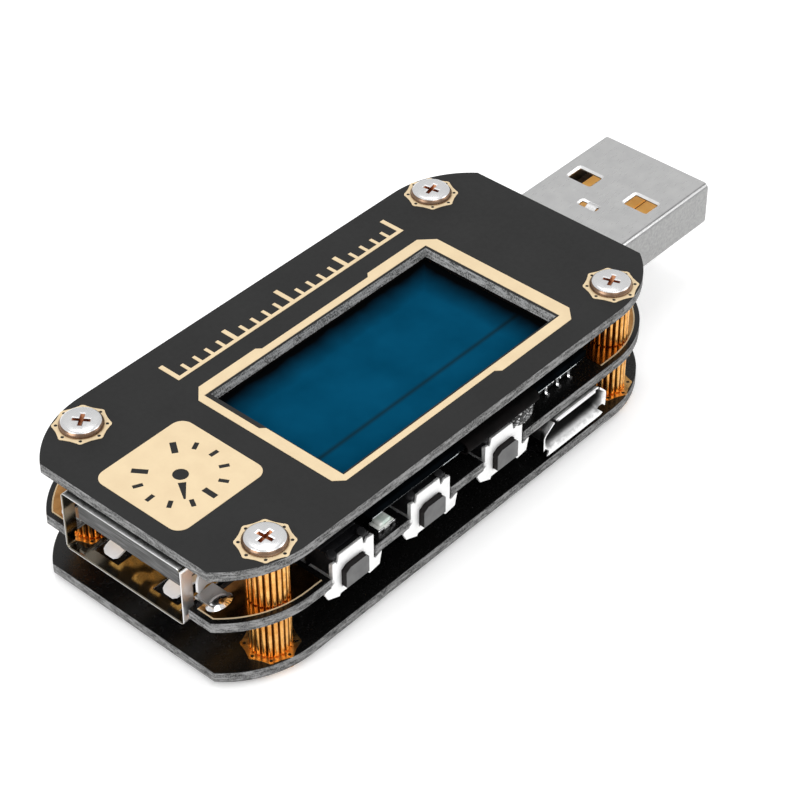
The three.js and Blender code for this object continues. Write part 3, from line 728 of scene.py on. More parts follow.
def graduated_scale():
    """A plain ruled scale: one base line with long, middle and short strokes."""
    x0, step, count = -11.9, 1.35, 20
    base_y, base_width, bold, thin = 8.3, 0.36, 0.22, 0.16
    x_end = x0 + step * count
    points = [(x0 - bold, base_y), (x_end + bold, base_y)]
    for i in range(count, -1, -1):
        x = x0 + i * step
        tall = 2.4 if i % 10 == 0 else 1.9 if i % 5 == 0 else 1.3
        half = bold if i % 5 == 0 else thin
        top, foot = base_y + tall, base_y + base_width
        points += [(x + half, foot), (x + half, top), (x - half, top), (x - half, foot)]
    return [points]


def make_artwork():
    """All the gold on the plates' faces."""
    z = Z_TOP_FACE
    for name, loops in (
        ("gold_window_frame", window_frame()),
        ("gold_gauge_badge", gauge_badge()),
        ("gold_scale", graduated_scale()),
    ):
        show(name, "gold_plating", extrusion(loops, z, z + PLATING))
    pads("pads_top_plate", Z_TOP_FACE, 1, "gold_plating")
    pads("pads_top_plate_under", Z_TOP_UNDER, -1)
    pads("pads_main_board_under", Z_MAIN_UNDER, -1)
    pads("pads_bottom_plate", Z_BOTTOM_TOP, 1)
    pads("pads_bottom_plate_under", Z_BOTTOM_UNDER, -1)


def corner_land(sign_x, sign_y, inset):
    """The plated corner of the main board, kept back from the edge by a dark margin."""
    inner_x, inner_y = 17.4, 7.35
    radius = CORNER_RADIUS - inset
    centre_y = HALF_WIDTH - CORNER_RADIUS
    sweep = math.degrees(math.asin((HALF_LENGTH - inset - STRAIGHT_HALF) / radius))
    corner = arc(STRAIGHT_HALF, centre_y, radius, 90 - sweep, 90, 20)
    outline = [(HALF_LENGTH - inset, inner_y)] + corner + [(inner_x, HALF_WIDTH - inset), (inner_x, inner_y)]
    hole = circle(HOLE_X, HOLE_Y, PAD_BORE)
    return [[(sign_x * x, sign_y * y) for x, y in loop] for loop in (outline, hole)]


def make_lands():
    """The lands, and a pale gold strip along each one's outer edge, a painted highlight on the etched edge.
    """
    z = Z_MAIN_TOP
    margin, highlight_width = 0.56, 0.11
    lands, highlight_strips = [], []
    for sx, sy in ((-1, -1), (-1, 1), (1, -1), (1, 1)):
        land = corner_land(sx, sy, margin)
        lands.append(extrusion(land, z, z + PLATING))
        outer, inner = corner_land(sx, sy, margin - highlight_width)[0], land[0]
        # Painted highlight: a pale gold strip where the etched edge catches the light.
        highlight_strips.append(extrusion([outer[:-1] + inner[-2::-1]], z, z + PLATING))
    show("main_board_lands", "plated_land", lands)
    show("main_board_land_highlights", "gold_plating", highlight_strips)


# ---- Screws and standoffs ----

SCREW_HEAD, SCREW_HEIGHT, RECESS_LIP = 1.85, 0.6, 0.08
SCREW_TURNS = (0.1, 0.35, 0.2, 0.62)


def screw_mesh(length):
    """A low head with a rounded rim and a tapered cross recess, bearing on z = 0."""
    head, shank, height, lip = SCREW_HEAD, 0.9, SCREW_HEIGHT, RECESS_LIP
    profile = [
        (0, -length), (shank - 0.2, -length), (shank, -length + 0.2), (shank, 0),
        (head - 0.08, 0), (head, 0.08), (head, height - 0.4), (head - 0.11, height - 0.24),
        (head - 0.19, height - 0.14), (head - 0.28, height - 0.06), (head - 0.42, height), (0, height),
    ]
    body = turned(profile, 96)
    floor, over = height - 0.46, height + 0.1
    low_half, top_half, low_width, top_width = 0.4, 0.74, 0.13, 0.17
    levels = (
        (floor, low_half, low_width), (height - lip, top_half, top_width),
        (height, top_half + lip, top_width + lip), (over, top_half + lip, top_width + lip),
    )
    for turn in (0, math.pi / 2):
        rings = []
        for z, reach, width in levels:
            rings.append([(-reach, -width, z), (reach, -width, z), (reach, width, z), (-reach, width, z)])
        body = cut(body, moved(loft(rings), turn=turn))
    return body


def make_screws():
    """Eight screws; the recess, near the axis and below its lip, is painted dark copper as shade, and the
    head's side dark gold-brown as a painted reflection of the pad and painted shade.
    """
    recess_reach, side_reach = 1.0, 1.66
    looks = ["screw_nickel", "recess_painted_shade", "screw_side_painted_reflection"]

    def look_index(at, normal):
        reach = math.hypot(at.x, at.y)
        if reach < recess_reach and 0.02 < at.z < SCREW_HEIGHT - RECESS_LIP:
            return 1
        return 2 if reach > side_reach and normal.z < 0.66 else 0

    for label, length, z, flip in (("top", 3.2, Z_TOP_FACE, 0), ("bottom", 2.9, Z_BOTTOM_UNDER, math.pi)):
        pattern = screw_mesh(length)
        paint(pattern, look_index)
        for i, ((x, y), turn) in enumerate(zip(CORNERS, SCREW_TURNS), start=1):
            mesh = pattern.copy()
            mesh.transform(Matrix.Rotation(flip, 4, "X"))
            mesh = moved(mesh, x, y, z, turn)
            show(f"screw_{label}_{i}", looks, mesh, f"{label}_screw_{i}")
        bpy.data.meshes.remove(pattern)


KNURL_FLUTES, KNURL_STEPS, KNURL_DEPTH = 20, 12, 0.24


def knurl_ripple(radius, angle):
    """Straight knurl: broad rounded crests between narrow roots."""
    phase = (angle * KNURL_FLUTES / (2 * math.pi)) % 1.0
    return radius - KNURL_DEPTH * abs(2 * phase - 1) ** 2.6


def standoff_mesh(height, studded):
    """A knurled sleeve, over a stud that goes down through the main board if it is studded."""
    crest, bore, neck, lip = 1.75, 1.05, 1.5, 0.16
    sleeve = [(neck, 0), (crest, lip, True), (crest, height - lip, True), (neck, height), (bore, height)]
    if studded:
        stud = [(0, -3.2), (0.75, -3.2), (0.9, -3.05), (0.9, 0)]
        profile = stud + sleeve + [(bore, 0.8), (0, 0.8)]
    else:
        profile = [(bore, 0)] + sleeve + [(bore, 0)]
    mesh = turned(profile, KNURL_FLUTES * KNURL_STEPS, ripple=knurl_ripple)
    groove_reach = crest - 0.45 * KNURL_DEPTH

    # Painted shade: the knurl's roots between the crests get a dark brass look.
    def look_index(at, normal):
        return int(abs(normal.z) < 0.3 and neck - 0.02 < math.hypot(at.x, at.y) < groove_reach)

    paint(mesh, look_index)
    return mesh


def make_standoffs():
    for label, z, height in (
        ("lower", Z_BOTTOM_TOP, Z_MAIN_UNDER - Z_BOTTOM_TOP),
        ("upper", Z_MAIN_TOP, Z_TOP_UNDER - Z_MAIN_TOP),
    ):
        for i, (x, y) in enumerate(CORNERS, start=1):
            mesh = moved(standoff_mesh(height, label == "upper"), x, y, z, 0.3 * i)
            looks = ["standoff_brass", "standoff_groove_painted_shade"]
            show(f"standoff_{label}_{i}", looks, mesh, f"{label}_standoff_{i}")


# ---- USB-A plug ----


def shell_ring(x, half_y, z0, z1, radius, inset):
    """A rounded-rectangle ring in the YZ plane at x, drawn in by an inset."""
    corner = max(radius - inset, 0.12)
    loop = rounded_rectangle(-half_y + inset, half_y - inset, z0 + inset, z1 - inset, corner, 8)
    return [(x, y, z) for y, z in loop]


def drawn_shell(x_open, x_back, half_y, z0, z1, radius, sheet):
    """A sheet-metal tube whose mouth is eased slightly, from its mouth to its back."""
    step = math.copysign(1, x_back - x_open)
    stations = (
        (x_back, 0), (x_open + step * 0.15, 0), (x_open + step * 0.03, 0.01), (x_open, 0.04),
        (x_open, 0.1), (x_open + step * 0.1, sheet), (x_back, sheet),
    )
    return loft([shell_ring(x, half_y, z0, z1, radius, inset) for x, inset in stations], joined_ends=True)


RIM_DEPTH = 0.18


def flared_cutter(x0, x1, y0, y1, foot, top, flare):
    """A tool for a window whose rim is pressed open at the top face."""
    rings = []
    for z, grow in ((foot, 0), (top - RIM_DEPTH, 0), (top, flare), (top + 0.5, flare)):
        loop = rounded_rectangle(x0 - grow, x1 + grow, y0 - grow, y1 + grow, 0.12 + grow, 4)
        rings.append([(x, y, z) for x, y in loop])
    return loft(rings)


def is_inside(point, half_y, z0, z1):
    """Whether a point lies further in than a tube's outer faces by a small margin."""
    margin = 0.1
    return abs(point.y) < half_y - margin and z0 + margin < point.z < z1 - margin


def make_plug():
    """The plug's shell with its two windows, its folded tab and its ears; its bends take painted highlights
    and painted shade in stripes, its window rims a painted highlight, and its sides and inside painted shade.
    """
    (x0, x1), _, (z0, z1) = local_box("usb_plug_shell")
    half_y, sheet, bend = 6.0, 0.3, 0.55
    window_x0, window_x1, window_near, window_far = 33.65, 35.5, 1.95, 4.45
    ear_x0, ear_x1, ear_near, ear_far = 22.6, 25.2, 5.75, 7.4
    shell = drawn_shell(x1, x0, half_y, z0, z1, bend, sheet)
    for side in (-1, 1):
        y0, y1 = span(side, window_near, window_far)
        shell = cut(shell, flared_cutter(window_x0, window_x1, y0, y1, z0 - 1, z1, 0.2))
    tab_x0, tab_x1, tab_y0, tab_y1 = 30.85, 31.6, -0.8, 1.1
    shell = cut(shell, flared_cutter(tab_x0, tab_x1, tab_y0, tab_y1, z1 - 0.6, z1, 0.14))

    # Painted light: the window rims and some stripes on the bends get painted highlights; other stripes on
    # the bends, the sides and the inside get painted shade.
    def look_index(at, normal):
        tilt = math.degrees(math.atan2(abs(normal.y), abs(normal.z)))
        along_bend = abs(at.y) > half_y - bend and abs(normal.x) < 0.5
        if abs(at.y) < half_y - bend and at.z > z1 - RIM_DEPTH and 0.1 < normal.z < 0.97:
            return looks.index("shell_painted_highlight")
        if along_bend and (12 < tilt < 22 or 34 < tilt < 56):
            return looks.index("bend_painted_highlight")
        if is_inside(at, half_y, z0, z1):
            return looks.index("plug_inside_painted_shade")
        if along_bend and (22 < tilt < 34 or 56 < tilt < 67):
            return looks.index("bend_painted_shade")
        return looks.index("shell_side_painted_shade" if abs(normal.y) > 0.8 else "shell_steel")

    looks = ["shell_steel", "shell_side_painted_shade", "plug_inside_painted_shade", "bend_painted_shade", "shell_painted_highlight", "bend_painted_highlight"]
    paint(shell, look_index)
    tab_path = [
        (tab_x1 + 0.1, z1 - 0.12), (tab_x1 - 0.1, z1 - 0.12),
        (tab_x1 - 0.35, z1 - 0.24), (tab_x0 + 0.12, z1 - 0.4),
    ]
    parts = [shell, ribbon(tab_path, tab_y0 + 0.15, tab_y1 - 0.7, 0.2)]
    for side in (-1, 1):
        y0, y1 = span(side, ear_near, ear_far)
        parts.append(block(ear_x0, ear_x1, y0, y1, Z_MAIN_TOP, Z_MAIN_TOP + sheet, 0.06))
    show("usb_plug_shell_drawn", looks, parts, "usb_plug_shell", flat=True)


# ---- USB-A socket ----

FINGER_SHEET, FINGER_NOSE = 0.2, 0.7


def make_socket():
    """The socket's shell, open at its sides and floor round its spring fingers, and its ears."""
    (x0, x1), _, (z0, z1) = local_box("usb_socket_shell")
    half_y, sheet, bend, ear_sheet = 6.65, 0.15, 0.45, 0.3
    window_x0, floor_x1, near_y, far_y = -25.6, -18.6, 1.95, 4.75
    side_x1, side_z0, side_z1, corner_x0, corner_y = -20.2, 6.3, 9.9, -25.9, 5.2
    shell = drawn_shell(x0, x1, half_y, z0, z1, bend, sheet)
    shell = cut(shell, block(window_x0, side_x1, -half_y - 1, half_y + 1, side_z0, side_z1, 0))
    for side in (-1, 1):
        y0, y1 = span(side, near_y, far_y)
        shell = cut(shell, block(window_x0, floor_x1, y0, y1, z0 - 1, z1 + 1, 0))
        y0, y1 = span(side, corner_y, half_y + 1)
        shell = cut(shell, block(corner_x0, side_x1, y0, y1, z0 - 1, side_z0 + 0.1, 0))

    # Painted light: the inside of the shell gets a darker look as painted shade, and its outer sides the
    # bright look as a painted highlight.
    def look_index(at, normal):
        if is_inside(at, half_y, z0, z1):
            return 1
        return 3 if abs(normal.y) > 0.7 else 0

    paint(shell, look_index)
    middle, half_width, sheet_middle = (near_y + far_y) / 2, 0.85, sheet / 2
    tip_x, side_tip_x, side_finger_z0, side_finger_z1, ear_near, ear_far = -25.3, -25.1, 7.2, 9.0, 6.4, 8.4
    fingers, ears = [], []
    for side in (-1, 1):
        y0, y1 = span(side, middle - half_width, middle + half_width)
        for wall, inward in ((z0 + sheet_middle, 1), (z1 - sheet_middle, -1)):
            path = finger_path(floor_x1, tip_x, wall, inward)
            fingers.append(ribbon(path, y0, y1, FINGER_SHEET, nose=FINGER_NOSE))
        path = finger_path(side_x1, side_tip_x, side * (half_y - sheet_middle), -side)
        finger = ribbon(path, side_finger_z0, side_finger_z1, FINGER_SHEET, nose=FINGER_NOSE)
        finger.transform(SWAP_Y_Z)
        fingers.append(cleaned(finger))
        y0, y1 = span(side, ear_near, ear_far)
        for ear_x0, ear_x1 in ((-25.3, -23.3), (-17.4, -15.4)):
            ears.append(block(ear_x0, ear_x1, y0, y1, Z_MAIN_TOP, Z_MAIN_TOP + ear_sheet, 0.06))
    for finger in fingers:
        paint(finger, lambda at, normal: 2)
    looks = ["shell_steel", "shell_inside_painted_shade", "finger_tin", "shell_painted_highlight"]
    mesh = merged(shell, *fingers, *ears)
    show("usb_socket_shell_drawn", looks, mesh, "usb_socket_shell", flat=True)


def finger_path(root, tip, wall, inward):
    """A spring finger that leans in from its root and dips back to the wall at its tip, as (x, height)."""
    rise, dip, dip_length, lean_steps, dip_steps = 0.5, 0.48, 1.35, 8, 6
    length = abs(tip - root)
    step = math.copysign(1, tip - root)
    points = [(root - step * 0.1, wall), (root, wall)]
    for i in range(1, lean_steps + 1):
        t = i / lean_steps
        points.append((root + step * (length - dip_length) * t, wall + inward * rise * t**1.3))
    for i in range(1, dip_steps + 1):
        t = i / dip_steps
        points.append((root + step * (length - dip_length * (1 - t)), wall + inward * (rise - dip * t**1.2)))
    return points


def make_socket_contacts():
    """Contact springs under the tongue, narrowed and bellied down near the mouth; their tips are painted
    black as shade.
    """
    (tip, x1), _, (seat, _) = local_box("usb_socket_contact_1")
    blade, foot, belly, depth, spread = 8.21, seat + 0.12, tip + 1.25, 1.15, 0.95
    sheet, half, shaded_tip_length, curve_length, curve_steps, neck = 0.16, 0.62, 0.8, 4.6, 18, 14
    path = [(tip - 0.1, blade + 0.02), (tip + 0.05, blade - 0.25)]
    for k in range(1, curve_steps + 1):
        x = tip + 0.05 + curve_length * k / curve_steps
        path.append((x, blade - 0.04 - depth * math.exp(-((x - belly) / spread) ** 2)))
    path += [(-19.0, blade), (x1 - 2.05, blade), (x1 - 1.9, blade - 0.1)]
    path += [(x1 - 1.9, foot + 0.13), (x1 - 1.7, foot), (x1, foot)]
    looks = ["contact_gold", "housing_black"]
    for i in range(1, 5):
        node = f"usb_socket_contact_{i}"
        _, (y0, y1), _ = local_box(node)
        middle, belly_half = (y0 + y1) / 2, min((y1 - y0) / 2, half)
        front = ribbon(path[:neck + 1], middle - belly_half, middle + belly_half, sheet, crown=0.2)
        # Painted shade: the tips take the housing's black.
        paint(front, lambda at, normal: int(at.x < tip + shaded_tip_length))
        back = ribbon(path[neck:], y0, y1, sheet)
        show(f"socket_contact_spring_{i}", looks, [front, back], node)


# ---- Micro-USB port ----

MICRO_CENTRE, MICRO_SHEET = 13.3, 0.16
MICRO_TOP_HALF, MICRO_WIDE_HALF = 2.75, 3.7
MICRO_LOW, MICRO_SHOULDER, MICRO_HIGH = 3.15, 4.85, 5.95
MICRO_FLARE = 0.72
# Each notch: x from the centre, z, lean in degrees, half width
MICRO_NOTCHES = (
    (-4.3, 2.75, 45, 0.42), (3.85, 2.8, -42, 0.3), (-2.98, 5.75, -25, 0.14), (2.98, 5.75, 25, 0.14),
)


def micro_loop(inset):
    """The port's outline as (x, z), narrow at the board and wide below, drawn in by an inset."""
    half, low, corner = MICRO_WIDE_HALF - inset, MICRO_LOW + inset, 0.7
    top_half = MICRO_TOP_HALF - inset * 0.5
    right = arc(half - corner, low + corner, corner, -90, 0, 8)
    right += [(half, MICRO_SHOULDER - 0.25), (half - 0.1, MICRO_SHOULDER)]
    right += [(top_half + 0.1, MICRO_HIGH - inset - 0.1), (top_half - 0.15, MICRO_HIGH - inset)]
    left = [(-x, z) for x, z in reversed(right)]
    return right + left


def micro_ring(loop, grow, y):
    """The outline in the plates' frame at y, its floor and sides rolled outwards by grow."""
    side_from, side_over, floor_from, floor_over, right_share = 2.6, 0.9, 3.85, 0.5, 0.4
    ring = []
    for x, z in loop:
        sideways = min(max((abs(x) - side_from) / side_over, 0), 1) * (-1 if x < 0 else right_share)
        downwards = min(max((floor_from - z) / floor_over, 0), 1)
        ring.append((MICRO_CENTRE + x + sideways * grow, y, z - downwards * grow))
    return ring


def make_micro_port():
    """A folded sheet tube with a rolled mouth, notched into four lips."""
    _, (mouth, back), _ = local_box("micro_usb_shell")
    roll_depth, steps, sheet, lip_half = 0.95, 9, MICRO_SHEET, 2.5
    throat = mouth + roll_depth
    outer, inner = micro_loop(0), micro_loop(sheet)
    roll = [(MICRO_FLARE * (k / steps) ** 2, throat + (mouth - throat) * k / steps) for k in range(steps + 1)]
    rings = [micro_ring(outer, 0, back)]
    rings += [micro_ring(outer, grow, y) for grow, y in roll]
    rings += [micro_ring(inner, grow, y) for grow, y in reversed(roll)]
    rings.append(micro_ring(inner, 0, back - sheet))
    tube = loft(rings)
    for x, z, lean, half in MICRO_NOTCHES:
        notch = block(-half, half, mouth - 0.5, throat - 0.3, -0.6, 0.6, 0)
        place = Matrix.Translation((MICRO_CENTRE + x, 0, z))
        notch.transform(place @ Matrix.Rotation(math.radians(lean), 4, "Y"))
        tube = cut(tube, notch)
    lip = block(-lip_half, lip_half, mouth, mouth + 0.3, MICRO_HIGH - 0.5, MICRO_HIGH - 0.06)
    lip = moved(lip, MICRO_CENTRE)
    show("micro_usb_shell_drawn", "micro_steel", [tube, lip], "micro_usb_shell")


# ---- Buttons ----

COVER_HALF, COVER_LOW, COVER_HIGH = 2.35, 4.75, 8.9
BUTTON_Z = 6.4


def cover_loops():
    """The cover's front as (x, z): posts, a top bar between V notches, spread feet, a cut-cornered hole."""
    half, low, high = COVER_HALF, COVER_LOW, COVER_HIGH
    right = [
        (1.62, low), (1.85, 4.5), (3.02, 4.68), (3.12, 5.2), (3.3, 5.88), (3.1, 5.9), (2.55, 5.66),
        (half, 5.85), (half, 8.3), (1.62, 8.42), (1.4, 8.08), (1.16, 8.2), (1.06, high),
    ]
    left = [
        (-1.62, high), (-1.7, 8.3), (-1.86, 8.14), (-2.0, 8.4), (-half, 8.42), (-half, 6.75),
        (-2.2, 6.62), (-2.2, 6.35), (-half, 6.2), (-3.2, 5.95), (-3.3, 5.8), (-2.9, 5.0),
        (-1.62, 4.5), (-1.5, low),
    ]
    hole = [(-1.36, 5.38), (-1.36, 7.12), (-0.8, 7.47), (1.0, 7.47), (1.36, 7.12), (1.36, 5.38)]
    return [right + left, hole]


def make_button(i, x):
    """One button: a folded tin cover, the black housing and the plunger, which rides on its own body."""
    front, sheet, bend_radius = -12.8, 0.25, 0.2
    face = extrusion(cover_loops(), -front - sheet, -front, 0.04, PLANE_XZ)
    flange_x, corner = COVER_HALF - sheet / 2, bend_radius + sheet / 2
    flanges = []
    for side in (-1, 1):
        bend = [(side * (COVER_HALF - 0.33), front + sheet / 2)]
        bend += [
            (side * bx, by) for bx, by in arc(COVER_HALF - corner, front + corner, bend_radius, -90, 0, 6)
        ]
        for depth_y, z0, z1 in ((-10.2, 5.45, Z_MAIN_TOP - 0.25), (-12.4, Z_MAIN_TOP - 0.26, 8.25)):
            mesh = ribbon(bend + [(side * flange_x, depth_y)], z0, z1, 0.24)
            mesh.transform(SWAP_Y_Z)
            flanges.append(cleaned(mesh))
    cover = moved(merged(face, *flanges), x)
    show(f"button_{i}_cover", "button_tin", cover, f"button_cover_{i}")
    make_button_housing(i, x)
    _, (py0, py1), (pz0, pz1) = local_box(f"button_plunger_{i}")
    stem = softened(plunger_stem(x, py0), 0.035, 1, 50)
    flange_half, flange_front = 1.75, -12.45
    flange = block(x - flange_half, x + flange_half, flange_front, py1, pz0, pz1, 0.06)
    plunger = merged(stem, flange)
    # Painted shade: the plunger's sides and back get a near-black look, the front keeps its grey.
    paint(plunger, lambda at, normal: int(normal.y > -0.3))
    looks = ["plunger_grey", "plunger_side_painted_shade"]
    show(f"button_{i}_plunger", looks, plunger, f"button_plunger_{i}", body=f"button_{i}")


def make_button_housing(i, x):
    """The black body: a pocket for the plunger, grooves on top and two pegs that pin the cover."""
    (hx0, hx1), (hy0, hy1), (hz0, hz1) = local_box(f"button_housing_{i}")
    pocket_half, pocket_reach, pocket_floor = 1.55, 1.92, -11.05
    groove_half, groove_depth = 0.09, 0.12
    low, high = BUTTON_Z - pocket_half, BUTTON_Z + pocket_half
    body = block(hx0, hx1, hy0, hy1, hz0, hz1, 0)
    body = cut(body, block(x - pocket_reach, x + pocket_reach, hy0 - 1, pocket_floor, low, high, 0))
    for y in (-12.0, -11.2, -10.4):
        groove = block(hx0 - 1, hx1 + 1, y - groove_half, y + groove_half, hz1 - groove_depth, hz1 + 1, 0)
        body = cut(body, groove)
    parts = [softened(body, 0.06, 2, 50)]
    lean = Matrix.Rotation(math.radians(18), 4, "X")
    for peg_x in (x - 1.95, x + 1.45):
        peg = turned([(0, 0), (0.36, 0), (0.4, 0.06), (0.4, 0.3), (0.33, 0.38), (0, 0.4)], 20)
        peg.transform(Matrix.Translation((peg_x, -12.2, hz1 - 0.05)) @ lean)
        parts.append(peg)
    show(f"button_{i}_housing", "housing_black", parts, f"button_housing_{i}")


def plunger_stem(x, front):
    """The part that is pressed: a block with cut upper corners."""
    w, z0, z1, cutaway = 1.3, 5.45, 7.4, 0.35
    loop = [
        (x - w, z0), (x + w, z0), (x + w, z1 - cutaway),
        (x + w - cutaway, z1), (x - w + cutaway * 1.6, z1), (x - w, z1 - cutaway),
    ]
    return extrusion([loop], 12.3, -front, 0, PLANE_XZ)


# ---- Display ----


def make_display():
    """The front glass under its film, the back glass, and what closes the gaps round them."""
    node, film_sheet = "display_front_glass", 0.18
    span_x, span_y, (z0, z1) = local_box(node)
    film_foot = z1 - film_sheet
    film = node_block(node, 0.15, 0.15, film_foot - z0, 0, 0.04)
    front = merged(film, node_block(node, 0, 0, 0, film_sheet))
    paint(front, lambda at, normal: int(at.z <= film_foot - 0.01))
    show("display_front_panel", ["screen_film", "glass_dark"], front, node)
    make_display_gasket(span_x, span_y, z1)
    back = node_block("display_back_glass", 0, 0, 0, 0, 0.06)

    def look_index(at, normal):
        """The ground edge along the foot of the button side is paler, with a painted glint."""
        return int(-0.98 < normal.y < -0.2 and normal.z < -0.2 and abs(normal.x) < 0.2)

    paint(back, look_index)
    show("display_back_panel", ["glass_dark", "glass_edge"], back, "display_back_glass")
    _, (front_y, _), (foot_z, _) = local_box("display_back_glass")
    make_glass_trim(front_y, foot_z)


def make_display_gasket(span_x, span_y, z):
    """A black foam frame that closes the gap between the glass and the top plate, outside the window."""
    (x0, x1), (y0, y1) = span_x, span_y
    margin = 0.05
    in_x0, in_x1, in_y0, in_y1 = (edge + margin * way for edge, way in zip(WINDOW, (-1, 1, -1, 1)))
    outer = [(x0, y0), (x1, y0), (x1, y1), (x0, y1)]
    inner = [(in_x0, in_y0), (in_x0, in_y1), (in_x1, in_y1), (in_x1, in_y0)]
    gasket = extrusion([outer, inner], z, Z_TOP_UNDER)
    show("display_foam_frame", "film_dark", gasket)


def make_glass_trim(y, z):
    """The ground edge of the glass as thin strips with a painted glint beside the ribbon, and a few tinned
    tabs.
    """
    highlight_strips = ((-11.7, -10.6), (-3.4, -1.5), (8.6, 10.2), (10.9, 13.6))
    meshes = [block(x0, x1, y - 0.02, y + 0.1, z - 0.02, z + 0.05, 0.02, 1) for x0, x1 in highlight_strips]
    show("display_glass_glint", "glass_edge", meshes)
    # Each tab: its left end, width and height
    tabs = ((8.9, 0.4, 0.12), (9.8, 0.12, 0.3), (10.5, 0.3, 0.14), (11.6, 0.12, 0.34), (12.9, 0.35, 0.12))
    meshes = [block(x, x + w, y + 0.1, y + 0.5, z - 0.06 - h, z - 0.04, 0.03, 1) for x, w, h in tabs]
    show("display_glass_tabs", "solder", meshes)


def make_fixing_compound():
    """A lump of black granular compound that holds the ribbon's fold."""
    centre, reach, seed = (6.2, -12.76, 8.95), (1.25, 0.5, 0.85), 11
    bm = bmesh.new()
    bmesh.ops.create_icosphere(bm, subdivisions=5, radius=1)
    chance = random.Random(seed)
    for vertex in bm.verts:
        vertex.co *= 1 + chance.uniform(-0.08, 0.05)
    show("ribbon_fixing_compound", "pressed_powder", placed(bm, centre, reach))


def make_ribbon():
    """The flat ribbon that folds under the glass and comes down to the main board."""
    _, _, (glass_z0, glass_z1) = local_box("display_back_glass")
    thickness, start, fold, run, land, end = 0.12, -10.4, -12.52, -8.6, -5.6, -3.6
    top = glass_z1 + thickness / 2
    under = glass_z0 - 0.2 - thickness / 2
    radius = (top - under) / 2
    path = [(start, top), (fold, top)]
    path += arc(fold, (top + under) / 2, radius, 90, 270, 14)[1:]
    floor = Z_MAIN_TOP + thickness / 2
    drop = 10
    for i in range(drop + 1):
        t = i / drop
        path.append((run + (land - run) * t, under + (floor - under) * t * t * (3 - 2 * t)))
    path.append((end, floor))
    mesh = ribbon(path, -1.0, 8.0, thickness, axis="X")
    show("display_flat_ribbon", "film_dark", mesh, "display_ribbon")


# ---- Components on the main board ----

LEAD_REACH = 0.5


def chip(name, node, leads):
    """A moulded body with gull-wing leads; leads maps an axis, x or y, to the number on each end of it."""
    spans = dict(zip("xyz", local_box(node)))
    z0, z1 = spans["z"]
    under = z1 <= Z_MAIN_UNDER + 0.01
    seat, outward = (z1, -1) if under else (z0, 1)
    body = {}
    for axis, (start, end) in spans.items():
        reach = LEAD_REACH if axis in leads else 0
        body[axis] = (start + reach, end - reach)
    low, high = sorted((seat + outward * 0.1, z0 if under else z1))
    show(name, "chip_epoxy", softened(block(*body["x"], *body["y"], low, high, 0), 0.1, 2), node)
    meshes = []
    knee = seat + outward * (high - low) * 0.45
    foot = seat + outward * 0.07
    for axis, count in leads.items():
        across = "y" if axis == "x" else "x"
        start, end = body[across]
        pitch = (end - start) / count
        half = min(0.15, pitch * 0.28)
        for side, edge, tip in zip((-1, 1), body[axis], spans[axis]):
            path = [(edge - side * 0.1, knee), (edge + side * 0.12, knee)]
            path += [(edge + side * 0.2, foot), (tip, foot)]
            for k in range(count):
                v = start + pitch * (k + 0.5)
                meshes.append(ribbon(path, v - half, v + half, 0.1, axis=across.upper()))
    show(f"{name}_leads", "solder", meshes)


def end_capped(name, node, look, cap=0.45):
    """A chip part with tinned ends: its body is narrower than its caps by a hair."""
    hair, overlap = 0.04, 0.05
    show(name, look, node_block(node, cap, hair, hair, hair), node)
    (x0, x1), (y0, y1), (z0, z1) = local_box(node)
    reach = cap + overlap
    caps = [block(a, b, y0, y1, z0, z1, 0.08) for a, b in ((x0, x0 + reach), (x1 - reach, x1))]
    show(f"{name}_ends", "solder", caps)


def make_components():
    chip("microcontroller_body", "microcontroller", {"x": 12, "y": 12})
    chip("power_monitor_body", "power_monitor_chip", {"x": 5})
    chip("regulator_body", "voltage_regulator", {"y": 3})
    chip("memory_body", "memory_chip", {"x": 4})
    chip("diode_body", "diode", {"x": 1})
    end_capped("shunt_body", "shunt_resistor", "resistor_black", 0.9)
    end_capped("capacitor_1_body", "capacitor_1", "ceramic_tan")
    end_capped("capacitor_2_body", "capacitor_2", "ceramic_tan")
    brim_height, brim_width = 0.25, 0.15
    _, _, (z0, z1) = local_box("crystal")
    brim = node_block("crystal", 0, 0, 0, z1 - z0 - brim_height, 0.06)
    can = node_block("crystal", brim_width, brim_width, brim_height - 0.05, 0, 0.12, 3)
    show("crystal_can", "screw_nickel", [brim, can], "crystal")
    make_inductor()
    make_led()


def make_inductor():
    """A pressed block, its surface lumpy with coarse grain."""
    room, seed, lump = 0.12, 7, 0.07
    bm = bmesh.new()
    bm.from_mesh(node_block("inductor", room, room, 0.1, room, 0.3, 3))
    bmesh.ops.triangulate(bm, faces=bm.faces)
    bmesh.ops.subdivide_edges(bm, edges=bm.edges, cuts=3, use_grid_fill=True)
    chance = random.Random(seed)
    for vertex in bm.verts:
        vertex.co += Vector([chance.uniform(-lump, lump) for _ in range(3)])
    show("inductor_core", "pressed_powder", poured(bm), "inductor")


